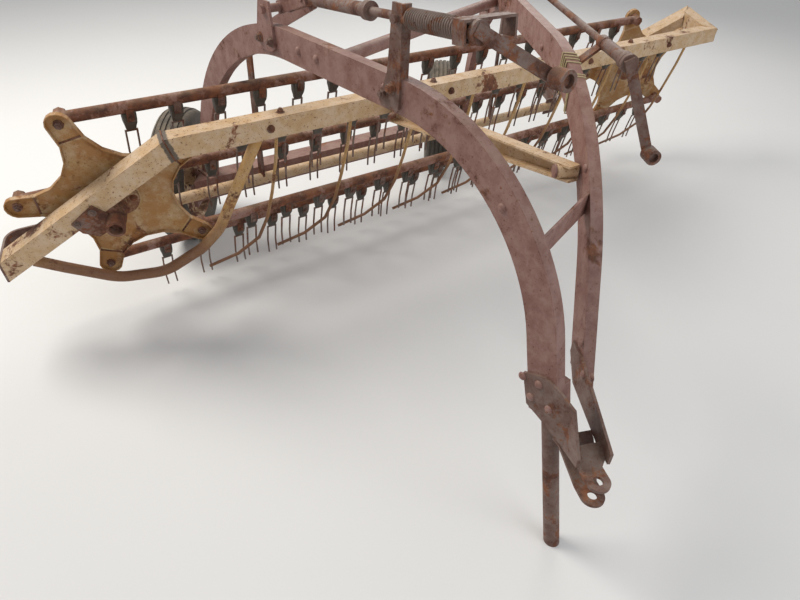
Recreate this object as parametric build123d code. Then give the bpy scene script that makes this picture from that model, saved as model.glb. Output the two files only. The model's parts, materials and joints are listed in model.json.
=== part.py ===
from build123d import *
import math
import os

os.makedirs("parts", exist_ok=True)

# An oblique five-bar side delivery rake, parked on its stand and its two wheels.
# Millimetres. Z is up, the rake travels towards -Y, and +X is its left-hand side.
# Plan places are measured from the hitch pin until the last step, which moves every
# piece so that the origin lies under the middle of the whole machine, on the ground.

# Hitch
hitch_angle = 16
hitch_pin_height = 380
hitch_ear_rise = 60
hitch_ear_width = 64
hitch_ear_thickness = 9
hitch_pin_hole = 26
hitch_ear_flat = 36
upper_ear_length = 100
lower_ear_slope_end = 128
lower_ear_length = 158
plate_thickness = 8
plate_low = 436
plate_nose = 46
plate_nose_low = 448
plate_nose_top = 486
plate_turn = 118
plate_top = 600
plate_web_end = 151
left_plate_end = 285
left_plate_top = 545
stand_radius = 24
stand_wall = 4
stand_top = 560
stand_lift = 250
sleeve_low = 486
sleeve_high = 590
slide_clearance = 0.4
slot_width = 7
slot_height = 26
slot_heights = [330, 240, 150]

# Arched beams, pressed as channels
beam_depth = 92
beam_flange = 36
beam_steel = 6
beam_top = 1200
foot_y = 130
right_arch_angle = 42.6
right_foot_x = -62
right_foot_z = 478
right_foot_lean = 14.4
right_bend_radius = 586
right_bend_centre = 695
right_leg_lean = 15
left_arch_angle = 6
left_foot_x = 50
left_foot_z = 462
left_foot_lean = 27
left_bend_radius = 754
left_bend_centre = 1040
left_leg_lean = 0
left_leg_end = 270
rear_bend_radius = 745
cross_tube_radius = 21
cross_tube_right = 1030
cross_tube_left = 1921
lower_strap_z = 905
lower_strap_height = 64
lower_strap_thickness = 8

# Basket rails, in a line that runs back to the left
rail_angle = 37.4
rail_start_x = -1325
rail_start_y = 961
rail_size = 76
rail_wall = 4
rail_top = 869
rail_length = 3180

# Reel: two five-armed spiders whose planes are oblique to the tooth bars
spider_turn = 17.4
spider_lean = 10.5
spider_x = -1574
spider_y = 1018
spider_z = 592
pivot_circle = 331
arm_count = 5
tip_flats = 8
waist_flats = 6
arm_phase = 108.3
arm_tip_radius = 42
waist_radius = 195
spider_steel = 5
spider_rim = 18
rim_steel = 4
hub_disc_radius = 74
hub_disc_thickness = 8
boss_radius = 34
boss_length = 24
reel_shaft_radius = 17
shaft_bearing_gap = 0.8
bearing_radius = 34
bearing_length = 80
bearing_start = 44
far_bearing_length = 50
flange_radius = 60
flange_thickness = 8
pin_radius = 10
running_clearance = 0.06
pin_washer_radius = 17
pin_washer = 6
knuckle_radius = 24
knuckle_length = 58
face_clearance = 0.8
bar_radius = 21
bar_length = 3020
end_tube_offset = 82
end_tube_low_a = -430
end_tube_low_b = -205

# Teeth
tooth_first = 215
tooth_last_gap = 165
tooth_count = 17
tooth_pitch = (bar_length - tooth_first - tooth_last_gap) / (tooth_count - 1)
mount_width = 44
mount_depth = 34
mount_end = 88
mount_gap = 0.5
tine_side = 6
tine_gap = 40
tine_end = 252
tine_kink = 175
tine_lean = 5
tine_hang_turn = -4.07

# Stripper rods, guard and rear rail, placed across and up from the reel's axis
stripper_radius = 7
stripper_every = 2
stripper_first = -0.5
stripper_count = 9
stripper_points = [(474, 203), (462, 60), (438, -90), (412, -215), (366, -330), (270, -412), (140, -470)]
guard_radius = 21
guard_points = [
    # across, up, and in front of the near spider
    (524, 199, -23),
    (340, -146, 62),
    (262, -222, 80),
    (110, -320, 85),
    (-68, -326, 85),
    (-240, -240, 85),
    (-330, -190, 85),
]
guard_bends = 170
rear_rail_radius = 25
rear_rail_wall = 4
rear_rail_a = -470
rear_rail_b = -200
strap_steel = 8
strap_height = 96
strap_bend = 60
strap_reach = 110

# Draft arm, on the pin that the basket lifts about
draft_pivot_s = 560
draft_pivot_z = 950
draft_pin_radius = 12
draft_boss_radius = 20
draft_boss_rise = 11
draft_gap = 6
draft_side = -52
draft_front_width = 46
draft_rear_width = 104
draft_depth = 44
draft_steel = 6
draft_rail_place = 900
draft_rail_drop = 22
lift_pin_radius = 10
lift_pin_clearance = 0.3
hanger_width = 40
hanger_steel = 10
right_hanger_side = 150
left_hanger_side = 112
right_hanger_z = 1000
left_hanger_z = 1000
crank_arm_steel = 10
crank_arm_gap = 7

# Rear beam and wheels
leg_offset = 585
rear_beam_width = 90
rear_beam_height = 100
rear_beam_top = 400
rear_beam_wall = 5
foot_plate_thickness = 10
foot_plate_size = 124
beam_end_x = -1480
wheel_offset = 792
axle_height = 320
spindle_radius = 18
axle_plate_steel = 20
axle_plate_height = 100
tyre_radius = 320
tyre_width = 150
tyre_gap = 23
rim_radius = 196
rim_width = 118
rim_wall = 5
disc_steel = 7
disc_place = 8
disc_dish = -14
flange_rise = 14
seat_width = 12
wheel_hub_radius = 46
wheel_hub_length = 112
hub_cap_radius = 30
hub_cap_length = 16
shoulder_width = 22
shoulder_height = 40
tread_depth = 24
bead_inset = 12.5
bead_width = 16

# Lift rods, their cranks and brackets
lift_rod_radius = 11
lift_tube_radius = 18.5
right_rod_rear = (1226, 1285, 58)
right_rod_front = (440, 1372, -38)
left_rod_rear = (1960, 1238, 60)
left_rod_front = (725, 1207, 118)
right_tube_share = 0.45
left_tube_share = 0.86
right_bracket_s = 712
left_bracket_s = 904
bracket_flange_width = 30
trunnion_length = 32
washer_thickness = 6
spring_radius = 25.5
spring_wire = 7
spring_seat = 30
spring_ring_gap = 0.4
spring_coils = 22
spring_bore = 15
crank_width = 30
crank_steel = 10
crank_hub = 14
right_crank_reach = (163, 0, -82)
left_crank_reach = (130, 20, -262)
knob_radius = 24
knob_length = 42
right_pivot = (1350, 1240)
left_pivot = (2050, 1168)
pivot_radius = 13
right_outer_arm = (1226, 1285)
left_outer_arm = (1960, 1238)
stirrup_width = 40
stirrup_length = 150
stirrup_height = 52
stirrup_steel = 6


def unit(angle):
    """A level direction, counted from the machine's left towards its rear."""
    return Vector(math.cos(math.radians(angle)), math.sin(math.radians(angle)), 0)


UP = Vector(0, 0, 1)
rail_dir = unit(rail_angle)
rail_back = unit(rail_angle + 90)
reel_across = unit(spider_turn)
reel_level_back = unit(spider_turn + 90)
reel_up = UP * math.cos(math.radians(spider_lean)) - reel_level_back * math.sin(math.radians(spider_lean))
reel_front = reel_across.cross(reel_up)
spider_centre = Vector(spider_x, spider_y, spider_z)
bar_offset = spider_steel / 2 + face_clearance + knuckle_length / 2
far_centre = spider_centre + rail_dir * bar_length - reel_front * (2 * bar_offset)
rail_start = Vector(rail_start_x, rail_start_y, rail_top - rail_size / 2)
leg_bottom = rear_beam_top + foot_plate_thickness


def reel_point(a, b, o, centre=spider_centre):
    """A place by its distances across, up and in front of a spider's plane."""
    return centre + reel_across * a + reel_up * b + reel_front * o


def reel_plane(o, centre=spider_centre):
    return Plane(origin=reel_point(0, 0, o, centre), x_dir=reel_across, z_dir=reel_front)


def on_rail(along, back=0, up=0):
    """A place by its distances along, behind and above the front rail's centre line."""
    return rail_start + rail_dir * along + rail_back * back + UP * up


def rod(start, end, radius):
    """A round rod between two places."""
    span = end - start
    return extrude(Plane(origin=start, z_dir=span) * Circle(radius), span.length)


def pipe(start, end, outer, inner):
    """A round tube between two places, open at both ends."""
    span = end - start
    return extrude(Plane(origin=start, z_dir=span) * (Circle(outer) - Circle(inner)), span.length)


def prism(start, end, radius):
    """An eight-sided rod between two places."""
    span = end - start
    return extrude(Plane(origin=start, z_dir=span) * RegularPolygon(radius, 8), span.length)


def bar_between(start, end, width, thickness, face):
    """A flat bar between two places, its broad face turned towards face."""
    span = end - start
    section = Plane(origin=start, x_dir=face.cross(span), z_dir=span) * Rectangle(width, thickness)
    return extrude(section, span.length)


def square_tube(start, end, size, wall, face):
    """A square tube between two places, open at both ends."""
    span = end - start
    plane = Plane(origin=start, x_dir=face.cross(span), z_dir=span)
    section = Rectangle(size, size) - Rectangle(size - 2 * wall, size - 2 * wall)
    return extrude(plane * section, span.length)


def half_space(place, normal, size=12000):
    """A big block on the normal's side of a plane through a place."""
    return extrude(Plane(origin=place, z_dir=normal) * Rectangle(size, size), size)


def together(shapes):
    """Several solids kept as one piece."""
    return Compound([solid for shape in shapes for solid in shape.solids()])


class Arch:
    """One arched beam: its upright plane, its two bends and how far back its leg is."""

    def __init__(self, foot_x, angle, foot_z, foot_lean, bend, centre, leg_lean, leg_z):
        self.foot = Vector(foot_x, foot_y, 0)
        self.along = unit(angle + 90)
        self.side = unit(angle)
        self.foot_z = foot_z
        self.foot_lean = math.radians(foot_lean)
        self.bend = bend
        self.centre = centre
        self.leg_lean = math.radians(leg_lean)
        self.leg_z = leg_z
        self.middle_z = beam_top - beam_depth / 2
        self.leg = self.reach(leg_offset)
        drop = self.middle_z - rear_bend_radius * (1 - math.sin(self.leg_lean)) - leg_bottom
        run = rear_bend_radius * math.cos(self.leg_lean) + drop * math.tan(self.leg_lean)
        self.rear_centre = self.leg - run

    def reach(self, offset, side=0):
        """How far along the arch a plane at some offset behind the rail is."""
        start = (self.foot + self.side * side - rail_start).dot(rail_back)
        return (offset - start) / self.along.dot(rail_back)

    def at(self, along, height, side=0):
        return self.foot + self.along * along + UP * height + self.side * side

    def plane(self, side):
        return Plane(origin=self.at(0, 0, side), x_dir=self.along, z_dir=self.side * -1)

    def sheet(self, points, side, thickness):
        """A plate drawn in the arch's own plane, its right face at side."""
        corners = [(along, -height) for along, height in points]
        return extrude(self.plane(side) * make_face(Polyline(*corners, close=True)), -thickness)

    def middle_at(self, along):
        """The height of the beam's middle line on its way down to the leg."""
        fall = along - self.rear_centre
        return self.middle_z - rear_bend_radius + math.sqrt(rear_bend_radius**2 - fall**2)

    def outline(self, inset, extra=0):
        """The beam's side view, drawn with x along the beam and y down."""
        reach = beam_depth / 2 - inset
        front_z = self.middle_z - self.bend
        rear_z = self.middle_z - rear_bend_radius
        foot_z = self.foot_z - extra
        leg_z = self.leg_z - extra
        foot_mid = (math.pi - self.foot_lean + math.pi / 2) / 2
        leg_mid = (self.leg_lean + math.pi / 2) / 2

        def front(radius, angle):
            return (self.centre + radius * math.cos(angle), -front_z - radius * math.sin(angle))

        def rear(radius, angle):
            return (self.rear_centre + radius * math.cos(angle), -rear_z - radius * math.sin(angle))

        def down(point, lean, z, way):
            run = (-point[1] - z) * math.tan(lean)
            return (point[0] + way * run, -z)

        big, small = self.bend + reach, self.bend - reach
        wide, tight = rear_bend_radius + reach, rear_bend_radius - reach
        foot_angle, top = math.pi - self.foot_lean, math.pi / 2
        foot_out = down(front(big, foot_angle), self.foot_lean, foot_z, -1)
        foot_in = down(front(small, foot_angle), self.foot_lean, foot_z, -1)
        leg_out = down(rear(wide, self.leg_lean), self.leg_lean, leg_z, 1)
        leg_in = down(rear(tight, self.leg_lean), self.leg_lean, leg_z, 1)
        edges = [
            Line(foot_out, front(big, foot_angle)),
            ThreePointArc(front(big, foot_angle), front(big, foot_mid), front(big, top)),
            Line(front(big, top), rear(wide, top)),
            ThreePointArc(rear(wide, top), rear(wide, leg_mid), rear(wide, self.leg_lean)),
            Line(rear(wide, self.leg_lean), leg_out),
            Line(leg_out, leg_in),
            Line(leg_in, rear(tight, self.leg_lean)),
            ThreePointArc(rear(tight, self.leg_lean), rear(tight, leg_mid), rear(tight, top)),
            Line(rear(tight, top), front(small, top)),
            ThreePointArc(front(small, top), front(small, foot_mid), front(small, foot_angle)),
            Line(front(small, foot_angle), foot_in),
            Line(foot_in, foot_out),
        ]
        return make_face(edges)

    def beam(self):
        """A channel with its web on the right and its flanges turned to the left."""
        outside = extrude(self.plane(-beam_flange / 2) * self.outline(0), -beam_flange)
        hollow = self.plane(beam_steel - beam_flange / 2) * self.outline(beam_steel, 50)
        return outside - extrude(hollow, -beam_flange)


right_arch = Arch(
    right_foot_x,
    right_arch_angle,
    right_foot_z,
    right_foot_lean,
    right_bend_radius,
    right_bend_centre,
    right_leg_lean,
    leg_bottom,
)
left_arch = Arch(
    left_foot_x,
    left_arch_angle,
    left_foot_z,
    left_foot_lean,
    left_bend_radius,
    left_bend_centre,
    left_leg_lean,
    left_leg_end,
)
pieces = {}
web_face = -beam_flange / 2

# Arched beams and the right leg's foot plate
foot_centre = right_arch.at(right_arch.leg, rear_beam_top)
foot_plate_plane = Plane(origin=foot_centre, x_dir=right_arch.along, z_dir=UP)
foot_plate = extrude(foot_plate_plane * Rectangle(foot_plate_size, beam_flange + 30), foot_plate_thickness)
right_beam = right_arch.beam() + foot_plate
left_beam = left_arch.beam()
pieces["right_arch_beam"] = right_beam
pieces["left_arch_beam"] = left_beam

# Hitch plates and ears
hitch_back = unit(hitch_angle + 90)
hitch_side = unit(hitch_angle)


def hitch_at(along, side, height):
    return hitch_back * along + hitch_side * side + UP * height


def meet(start_a, way_a, start_b, way_b):
    """Where two level lines cross, as a distance along the first one."""
    gap = start_b - start_a
    return (gap.X * way_b.Y - gap.Y * way_b.X) / (way_a.X * way_b.Y - way_a.Y * way_b.X)


half_ear = hitch_ear_width / 2
plate_face = web_face - plate_thickness
right_line = hitch_at(0, -half_ear - plate_thickness, 0)
right_web_line = right_arch.at(0, 0, plate_face)
turn_along = meet(right_line, hitch_back, right_web_line, right_arch.along)
turn_place = right_line + hitch_back * turn_along
turn_on_arch = (turn_place - right_web_line).dot(right_arch.along)
turn_lap = 2

right_nose_plane = Plane(origin=right_line, x_dir=hitch_back, z_dir=hitch_side * -1)
right_nose_points = [
    (plate_nose, -plate_nose_low),
    (turn_along + turn_lap, -plate_low),
    (turn_along + turn_lap, -plate_top + 20),
    (plate_nose + 14, -plate_nose_top - 10),
    (plate_nose, -plate_nose_top + 8),
]
right_nose = extrude(right_nose_plane * make_face(Polyline(*right_nose_points, close=True)), -plate_thickness)
right_web_points = [
    (turn_on_arch - turn_lap, plate_low),
    (plate_web_end - 99, plate_low + 34),
    (plate_web_end - 31, plate_low + 59),
    (plate_web_end, plate_top - 12),
    (plate_web_end - 66, plate_top + 19),
    (plate_web_end - 116, plate_top + 6),
    (turn_on_arch - turn_lap, plate_top - 20),
]
right_web_plate = right_arch.sheet(right_web_points, plate_face, plate_thickness)
pieces["right_hitch_plate"] = right_nose + right_web_plate

left_start = left_arch.at(0, 0, plate_face)
left_nose_along = (hitch_at(plate_nose, 0, 0) - left_start).dot(left_arch.along)
left_plate_points = [
    (left_nose_along, plate_nose_low),
    (left_nose_along + 80, plate_low),
    (left_plate_end - 70, plate_low + 6),
    (left_plate_end, plate_low + 70),
    (left_plate_end, left_plate_top),
    (left_plate_end - 90, left_plate_top),
    (left_nose_along + 90, plate_nose_top + 20),
    (left_nose_along, plate_nose_top),
]
pieces["left_hitch_plate"] = left_arch.sheet(left_plate_points, plate_face, plate_thickness)
plate_inside_right = half_space(hitch_at(0, -half_ear, 0), hitch_side * -1)
plate_inside_left = half_space(left_arch.at(0, 0, plate_face), left_arch.side)


def ear(level, flat_end, slope_end, back_end, rise, back_width):
    """A bent strap with a rounded nose around the pin hole, widening to the rear."""
    half = hitch_ear_thickness / 2
    spine = [(-half_ear, 0), (flat_end, 0), (slope_end, rise), (back_end, rise)]
    top = [(x, y + half) for x, y in spine]
    bottom = [(x, y - half) for x, y in reversed(spine)]
    side_plane = Plane(origin=hitch_at(0, 0, level), x_dir=hitch_back, z_dir=hitch_back.cross(UP))
    side_face = make_face(Polyline(*top, *bottom, close=True))
    strip = extrude(side_plane * side_face, 2 * back_width, both=True)
    flat_plane = Plane(origin=hitch_at(0, 0, level - 50), x_dir=hitch_side, z_dir=UP)
    plan = [
        (-half_ear, 0),
        (half_ear, 0),
        (half_ear, flat_end),
        (back_width, back_end),
        (-half_ear - (back_width - half_ear) * 0.4, back_end),
        (-half_ear, flat_end),
    ]
    shape = extrude(flat_plane * make_face(Polyline(*plan, close=True)), 200)
    shape += extrude(flat_plane * Circle(half_ear), 200)
    hole = extrude(flat_plane * Circle(hitch_pin_hole / 2), 200)
    return (strip & shape) - hole


lower_ear_rise = plate_low - hitch_pin_height - hitch_ear_thickness / 2
lower_ear = ear(
    hitch_pin_height,
    hitch_ear_flat,
    lower_ear_slope_end,
    lower_ear_length,
    lower_ear_rise,
    half_ear + 36,
)
pieces["lower_hitch_ear"] = lower_ear
upper_level = hitch_pin_height + hitch_ear_rise
upper_ear = ear(upper_level, hitch_ear_flat, upper_ear_length - 20, upper_ear_length, 16, half_ear + 60)
upper_ear = upper_ear - plate_inside_right - plate_inside_left
pieces["upper_hitch_ear"] = upper_ear - pieces["right_hitch_plate"] - pieces["left_hitch_plate"]

# Parking stand, a pipe that slides in a sleeve inside the right arch's channel
lean = math.radians(right_foot_lean)
stand_dir = right_arch.along * math.sin(lean) + UP * math.cos(lean)
outer_foot = right_arch.centre - (right_arch.bend) * math.cos(lean)
outer_foot_z = right_arch.middle_z - right_arch.bend + right_arch.bend * math.sin(lean)
stand_side = web_face + beam_steel + stand_radius + 4


def stand_at(height):
    along = outer_foot - (outer_foot_z - height) * math.tan(lean)
    return right_arch.at(along, height, stand_side)


stand_bottom = stand_at(-60)
stand_end = stand_at(stand_top)
stand_pipe = pipe(stand_bottom, stand_end, stand_radius, stand_radius - stand_wall)
stand_pipe = stand_pipe & half_space(Vector(0, 0, 0), UP)
for height in slot_heights:
    slot_plane = Plane(origin=stand_at(height), x_dir=stand_dir, z_dir=Vector(-1, 0, 0))
    stand_pipe = stand_pipe - extrude(slot_plane * Rectangle(slot_height, slot_width), 2 * stand_radius)
pieces["parking_stand"] = stand_pipe

sleeve_points = []
sleeve_half = beam_depth / 2 - beam_steel
for height, way in ((sleeve_low, -1), (sleeve_high, -1), (sleeve_high, 1), (sleeve_low, 1)):
    middle = outer_foot - (outer_foot_z - height) * math.tan(lean)
    sleeve_points.append((middle + way * sleeve_half / math.cos(lean), height))
sleeve_width = stand_radius * 2 + 14
sleeve = right_arch.sheet(sleeve_points, web_face + beam_steel, sleeve_width)
sleeve = sleeve - rod(stand_bottom, stand_at(900), stand_radius + slide_clearance)
pieces["stand_sleeve"] = sleeve

# Cross tube high up, and the strap lower down
tube_right = right_arch.at(cross_tube_right, right_arch.middle_z, 0)
tube_left = left_arch.at(cross_tube_left, left_arch.middle_at(cross_tube_left), 0)
cross_tube = rod(tube_right, tube_left, cross_tube_radius)
cross_tube = cross_tube & half_space(right_arch.at(0, 0, web_face + beam_steel), right_arch.side)
cross_tube = cross_tube & half_space(left_arch.at(0, 0, web_face), left_arch.side * -1)
pieces["cross_tube"] = cross_tube


def front_middle(arch, height):
    """How far along an arch its front bend's middle line stands at a height."""
    rise = height - (arch.middle_z - arch.bend)
    return arch.centre - math.sqrt(arch.bend**2 - rise**2)


strap_right = right_arch.at(front_middle(right_arch, lower_strap_z), lower_strap_z, 0)
strap_left = left_arch.at(front_middle(left_arch, lower_strap_z), lower_strap_z, 0)
strap_way = (strap_left - strap_right).normalized()
lower_strap = bar_between(
    strap_right - strap_way * 60,
    strap_left + strap_way * 60,
    lower_strap_height,
    lower_strap_thickness,
    strap_way.cross(UP),
)
lower_strap = lower_strap & half_space(right_arch.at(0, 0, web_face + beam_steel), right_arch.side)
lower_strap = lower_strap & half_space(left_arch.at(0, 0, web_face), left_arch.side * -1)
lower_strap = lower_strap - right_beam - left_beam
pieces["arch_strap"] = lower_strap

# Front rail and near end tube, mitred into each other
corner = rail_start - spider_centre
corner_a = corner.dot(reel_across)
corner_b = corner.dot(reel_up)
corner_o = corner.dot(reel_front)
end_low = reel_point(end_tube_low_a - 60, end_tube_low_b - 60 * (corner_b - end_tube_low_b) /
                     (corner_a - end_tube_low_a), corner_o)
end_way = (end_low - rail_start).normalized()
mitre = rail_dir - end_way
strap_inside = strap_steel / 2
end_tube = square_tube(rail_start - end_way * 120, end_low, rail_size, rail_wall, reel_front)
end_tube = end_tube & half_space(rail_start, mitre * -1)
end_tube = end_tube & half_space(reel_point(end_tube_low_a + strap_inside, 0, 0), reel_across)

# Far end: a short tube back past the far spider, then a tube down behind it
far_end = on_rail(rail_length) - far_centre
far_a = far_end.dot(reel_across)
far_b = far_end.dot(reel_up)
far_o = far_end.dot(reel_front)
far_face = -(bearing_start + far_bearing_length)
far_plane = far_face - rail_size / 2


def far_point(a, b, o):
    return reel_point(a, b, o, far_centre)


apex = far_point(far_a, far_b, far_plane)
far_slope = (far_b - end_tube_low_b) / (far_a - end_tube_low_a)
far_low = far_point(end_tube_low_a - 60, end_tube_low_b - 60 * far_slope, far_plane)
far_way = (far_low - apex).normalized()
back_way = (apex - on_rail(rail_length)).normalized()
rail_mitre = rail_dir + back_way
back_tube = square_tube(
    on_rail(rail_length) - back_way * 120,
    apex + back_way * 120,
    rail_size,
    rail_wall,
    reel_up,
)
back_tube = back_tube & half_space(on_rail(rail_length), rail_mitre)
back_tube = back_tube & half_space(apex, (back_way + far_way) * -1)
front_rail = square_tube(on_rail(-120), on_rail(rail_length + 160), rail_size, rail_wall, UP)
front_rail = front_rail & half_space(rail_start, mitre)
front_rail = front_rail & half_space(on_rail(rail_length), rail_mitre * -1)
far_tube = square_tube(apex - far_way * 120, far_low, rail_size, rail_wall, reel_front)
far_tube = far_tube & half_space(apex, back_way + far_way)
far_tube = far_tube & half_space(far_point(end_tube_low_a + strap_inside, 0, 0), reel_across)
pieces["front_rail"] = front_rail
pieces["near_end_tube"] = end_tube
pieces["far_end_frame"] = back_tube + far_tube

# Rear rail and the bent straps that join it to the end tubes
strap_run = (end_tube_low_a - rear_rail_a) / rail_dir.dot(reel_across)
rail_rear_start = reel_point(rear_rail_a, rear_rail_b, -bar_offset)
hanger_place = (rail_rear_start - rail_start).dot(rail_back)
near_turn = rail_rear_start + rail_dir * strap_run
far_turn_run = strap_run + bar_length
far_turn = rail_rear_start + rail_dir * far_turn_run


def end_strap(turn, tube_face, way_out):
    """A bent flat strap from a tube's end into the rear rail's slotted end."""
    offset = (turn - tube_face).dot(reel_front)
    first = turn - reel_front * offset
    path = FilletPolyline(first, turn, turn + way_out * strap_reach, radius=strap_bend)
    section_plane = Plane(origin=first, x_dir=reel_across, z_dir=turn - first)
    return sweep(section_plane * Rectangle(strap_steel, strap_height), path=path)


near_strap = end_strap(near_turn, reel_point(0, 0, corner_o + rail_size / 2), rail_dir)
far_strap = end_strap(far_turn, far_point(0, 0, far_plane - rail_size / 2), rail_dir * -1)
rear_rail = pipe(
    near_turn + rail_dir * (strap_reach - 50),
    far_turn - rail_dir * (strap_reach - 50),
    rear_rail_radius,
    rear_rail_radius - rear_rail_wall,
)
pieces["near_end_strap"] = near_strap
pieces["far_end_strap"] = far_strap
pieces["rear_rail"] = rear_rail - near_strap - far_strap


# Spiders
def spider_face(inset):
    """The spider's outline: a round tip on each arm, joined by hollow waists, in short flats."""
    step = 2 * math.pi / arm_count
    cosine = math.cos(step / 2)
    top = pivot_circle**2 + waist_radius**2 - arm_tip_radius**2 - 2 * pivot_circle * waist_radius * cosine
    hollow = top / (2 * (pivot_circle * cosine + arm_tip_radius - waist_radius))
    hollow_centre = waist_radius + hollow
    tip, dent = arm_tip_radius - inset, hollow + inset
    points = []
    for arm in range(arm_count):
        angle = math.radians(arm_phase) + arm * step

        def polar(radius, turn):
            return Vector(radius * math.cos(angle + turn), radius * math.sin(angle + turn), 0)

        pivot = polar(pivot_circle, 0)
        before = polar(hollow_centre, -step / 2)
        after = polar(hollow_centre, step / 2)
        follow = Vector(
            pivot_circle * math.cos(angle + step),
            pivot_circle * math.sin(angle + step),
            0,
        )
        into = pivot + (before - pivot).normalized() * tip
        out = pivot + (after - pivot).normalized() * tip
        on = follow + (after - follow).normalized() * tip
        tip_arc = ThreePointArc(into, polar(pivot_circle + tip, 0), out)
        waist_arc = ThreePointArc(out, polar(hollow_centre - dent, step / 2), on)
        points += [tip_arc @ (flat / tip_flats) for flat in range(tip_flats)]
        points += [waist_arc @ (flat / waist_flats) for flat in range(waist_flats)]
    return make_face(Polyline(*points, close=True))


def pivot_angle(arm):
    return math.radians(arm_phase) + arm * 2 * math.pi / arm_count


def spider(way):
    """A pressed spider with its rim, disc and shaft on the side away from the bars."""
    half = spider_steel / 2
    plate = extrude(spider_face(0), half, both=True)
    rim_face = spider_face(0) - spider_face(rim_steel)
    rim = extrude(Pos(0, 0, -way * half) * rim_face, way * spider_rim)
    disc = extrude(Pos(0, 0, way * half) * Circle(hub_disc_radius), way * hub_disc_thickness)
    boss_start = way * (half + hub_disc_thickness)
    boss = extrude(Pos(0, 0, boss_start) * Circle(boss_radius), way * boss_length)
    shape = plate + rim + disc + boss
    for arm in range(arm_count):
        angle = pivot_angle(arm)
        spot = Pos(pivot_circle * math.cos(angle), pivot_circle * math.sin(angle), 0)
        shape = shape - extrude(spot * Circle(pin_radius + running_clearance), 50, both=True)
    return shape


near_shaft_end = bearing_start + bearing_length + shaft_bearing_gap
near_shaft = extrude(Circle(reel_shaft_radius), near_shaft_end)
near_collar = extrude(Pos(0, 0, near_shaft_end) * Circle(boss_radius - 8), flange_thickness)
near_spider = spider(1) + near_shaft + near_collar
pieces["near_spider"] = reel_plane(0).location * near_spider
far_shaft = extrude(Circle(reel_shaft_radius), -(bearing_start + far_bearing_length - shaft_bearing_gap))
far_spider = spider(-1) + far_shaft
pieces["far_spider"] = reel_plane(0, far_centre).location * far_spider

# Reel bearings
tube_middle = Vector(corner_a, corner_b, 0)
tube_way = (Vector(end_tube_low_a, end_tube_low_b, 0) - tube_middle).normalized()
tube_across = Vector(-tube_way.Y, tube_way.X, 0)
if tube_across.dot(tube_middle) > 0:
    tube_across = tube_across * -1
tube_distance = abs(tube_middle.dot(tube_across))
saddle_height = tube_distance - rail_size / 2
saddle_plane = Plane(origin=(0, 0, bearing_start), x_dir=tube_way, z_dir=(0, 0, 1))
saddle_face = saddle_plane * Pos(0, 0) * Rectangle(2 * bearing_radius - 8, 2 * saddle_height)
saddle = extrude(saddle_face, bearing_length)
keep = extrude(
    Plane(origin=(0, 0, bearing_start), x_dir=tube_way, z_dir=tube_across * -1)
    * Rectangle(400, 400),
    saddle_height,
)
housing = extrude(Pos(0, 0, bearing_start) * Circle(bearing_radius), bearing_length)
bearing_bore = extrude(Circle(reel_shaft_radius + running_clearance), 400, both=True)
near_bearing = (saddle & keep) + housing - bearing_bore
pieces["near_bearing"] = reel_plane(0).location * near_bearing
far_housing = extrude(Pos(0, 0, -bearing_start) * Circle(bearing_radius), -far_bearing_length)
far_flange = extrude(Pos(0, 0, far_face) * Circle(flange_radius), flange_thickness)
far_bearing = far_housing + far_flange - bearing_bore
pieces["far_bearing"] = reel_plane(0, far_centre).location * far_bearing

# Tooth bars with their rubber mounts and tines
hang = reel_up * -math.cos(math.radians(tine_hang_turn)) + reel_across * math.sin(math.radians(tine_hang_turn))
kink_turn = math.radians(tine_hang_turn + tine_lean)
kink_hang = reel_up * -math.cos(kink_turn) + reel_across * math.sin(kink_turn)
mount_side = rail_dir.cross(hang).normalized()


def pivot_place(arm, offset, centre=spider_centre):
    angle = pivot_angle(arm)
    return reel_point(pivot_circle * math.cos(angle), pivot_circle * math.sin(angle), offset, centre)


def tooth_bar(arm):
    """A round bar with a boss and a pin across each of its ends."""
    near = pivot_place(arm, -bar_offset)
    far = pivot_place(arm, bar_offset, far_centre)
    shape = rod(near, far, bar_radius)
    for place, way in ((near, 1), (far, -1)):
        front = reel_front * way
        half = front * (knuckle_length / 2)
        shape += prism(place - half, place + half, knuckle_radius)
        pin_end = place + front * (bar_offset + spider_steel / 2 + face_clearance)
        shape += rod(place, pin_end, pin_radius)
        shape += prism(pin_end, pin_end + front * pin_washer, pin_washer_radius)
    return shape


def rubber_mounts(arm):
    """The row of rubber blocks under a bar."""
    near = pivot_place(arm, -bar_offset)
    blocks = []
    for tooth in range(tooth_count):
        middle = near + rail_dir * (tooth_first + tooth * tooth_pitch)
        foot, head = middle + hang * (bar_radius + mount_gap), middle + hang * mount_end
        blocks.append(bar_between(foot, head, mount_width, mount_depth, mount_side))
    return together(blocks)


def tines(arm):
    """A row of double tines, each bent from one wire whose bridge lies under its mount."""
    near = pivot_place(arm, -bar_offset)
    bridge = mount_end + tine_side / 2 + mount_gap
    wires = []
    for tooth in range(tooth_count):
        middle = near + rail_dir * (tooth_first + tooth * tooth_pitch)
        left, right = middle - rail_dir * (tine_gap / 2), middle + rail_dir * (tine_gap / 2)
        tip = kink_hang * (tine_end - tine_kink)
        points = [
            left + hang * tine_kink + tip,
            left + hang * tine_kink,
            left + hang * bridge,
            right + hang * bridge,
            right + hang * tine_kink,
            right + hang * tine_kink + tip,
        ]
        path = Polyline(*points)
        start = Plane(origin=points[0], x_dir=mount_side, z_dir=points[1] - points[0])
        section = start * Rectangle(tine_side, tine_side)
        wires.append(sweep(section, path=path, transition=Transition.RIGHT))
    return together(wires)


for arm in range(arm_count):
    pieces[f"tooth_bar_{arm + 1}"] = tooth_bar(arm)
    pieces[f"rubber_mounts_{arm + 1}"] = rubber_mounts(arm)
    pieces[f"tines_{arm + 1}"] = tines(arm)


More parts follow.
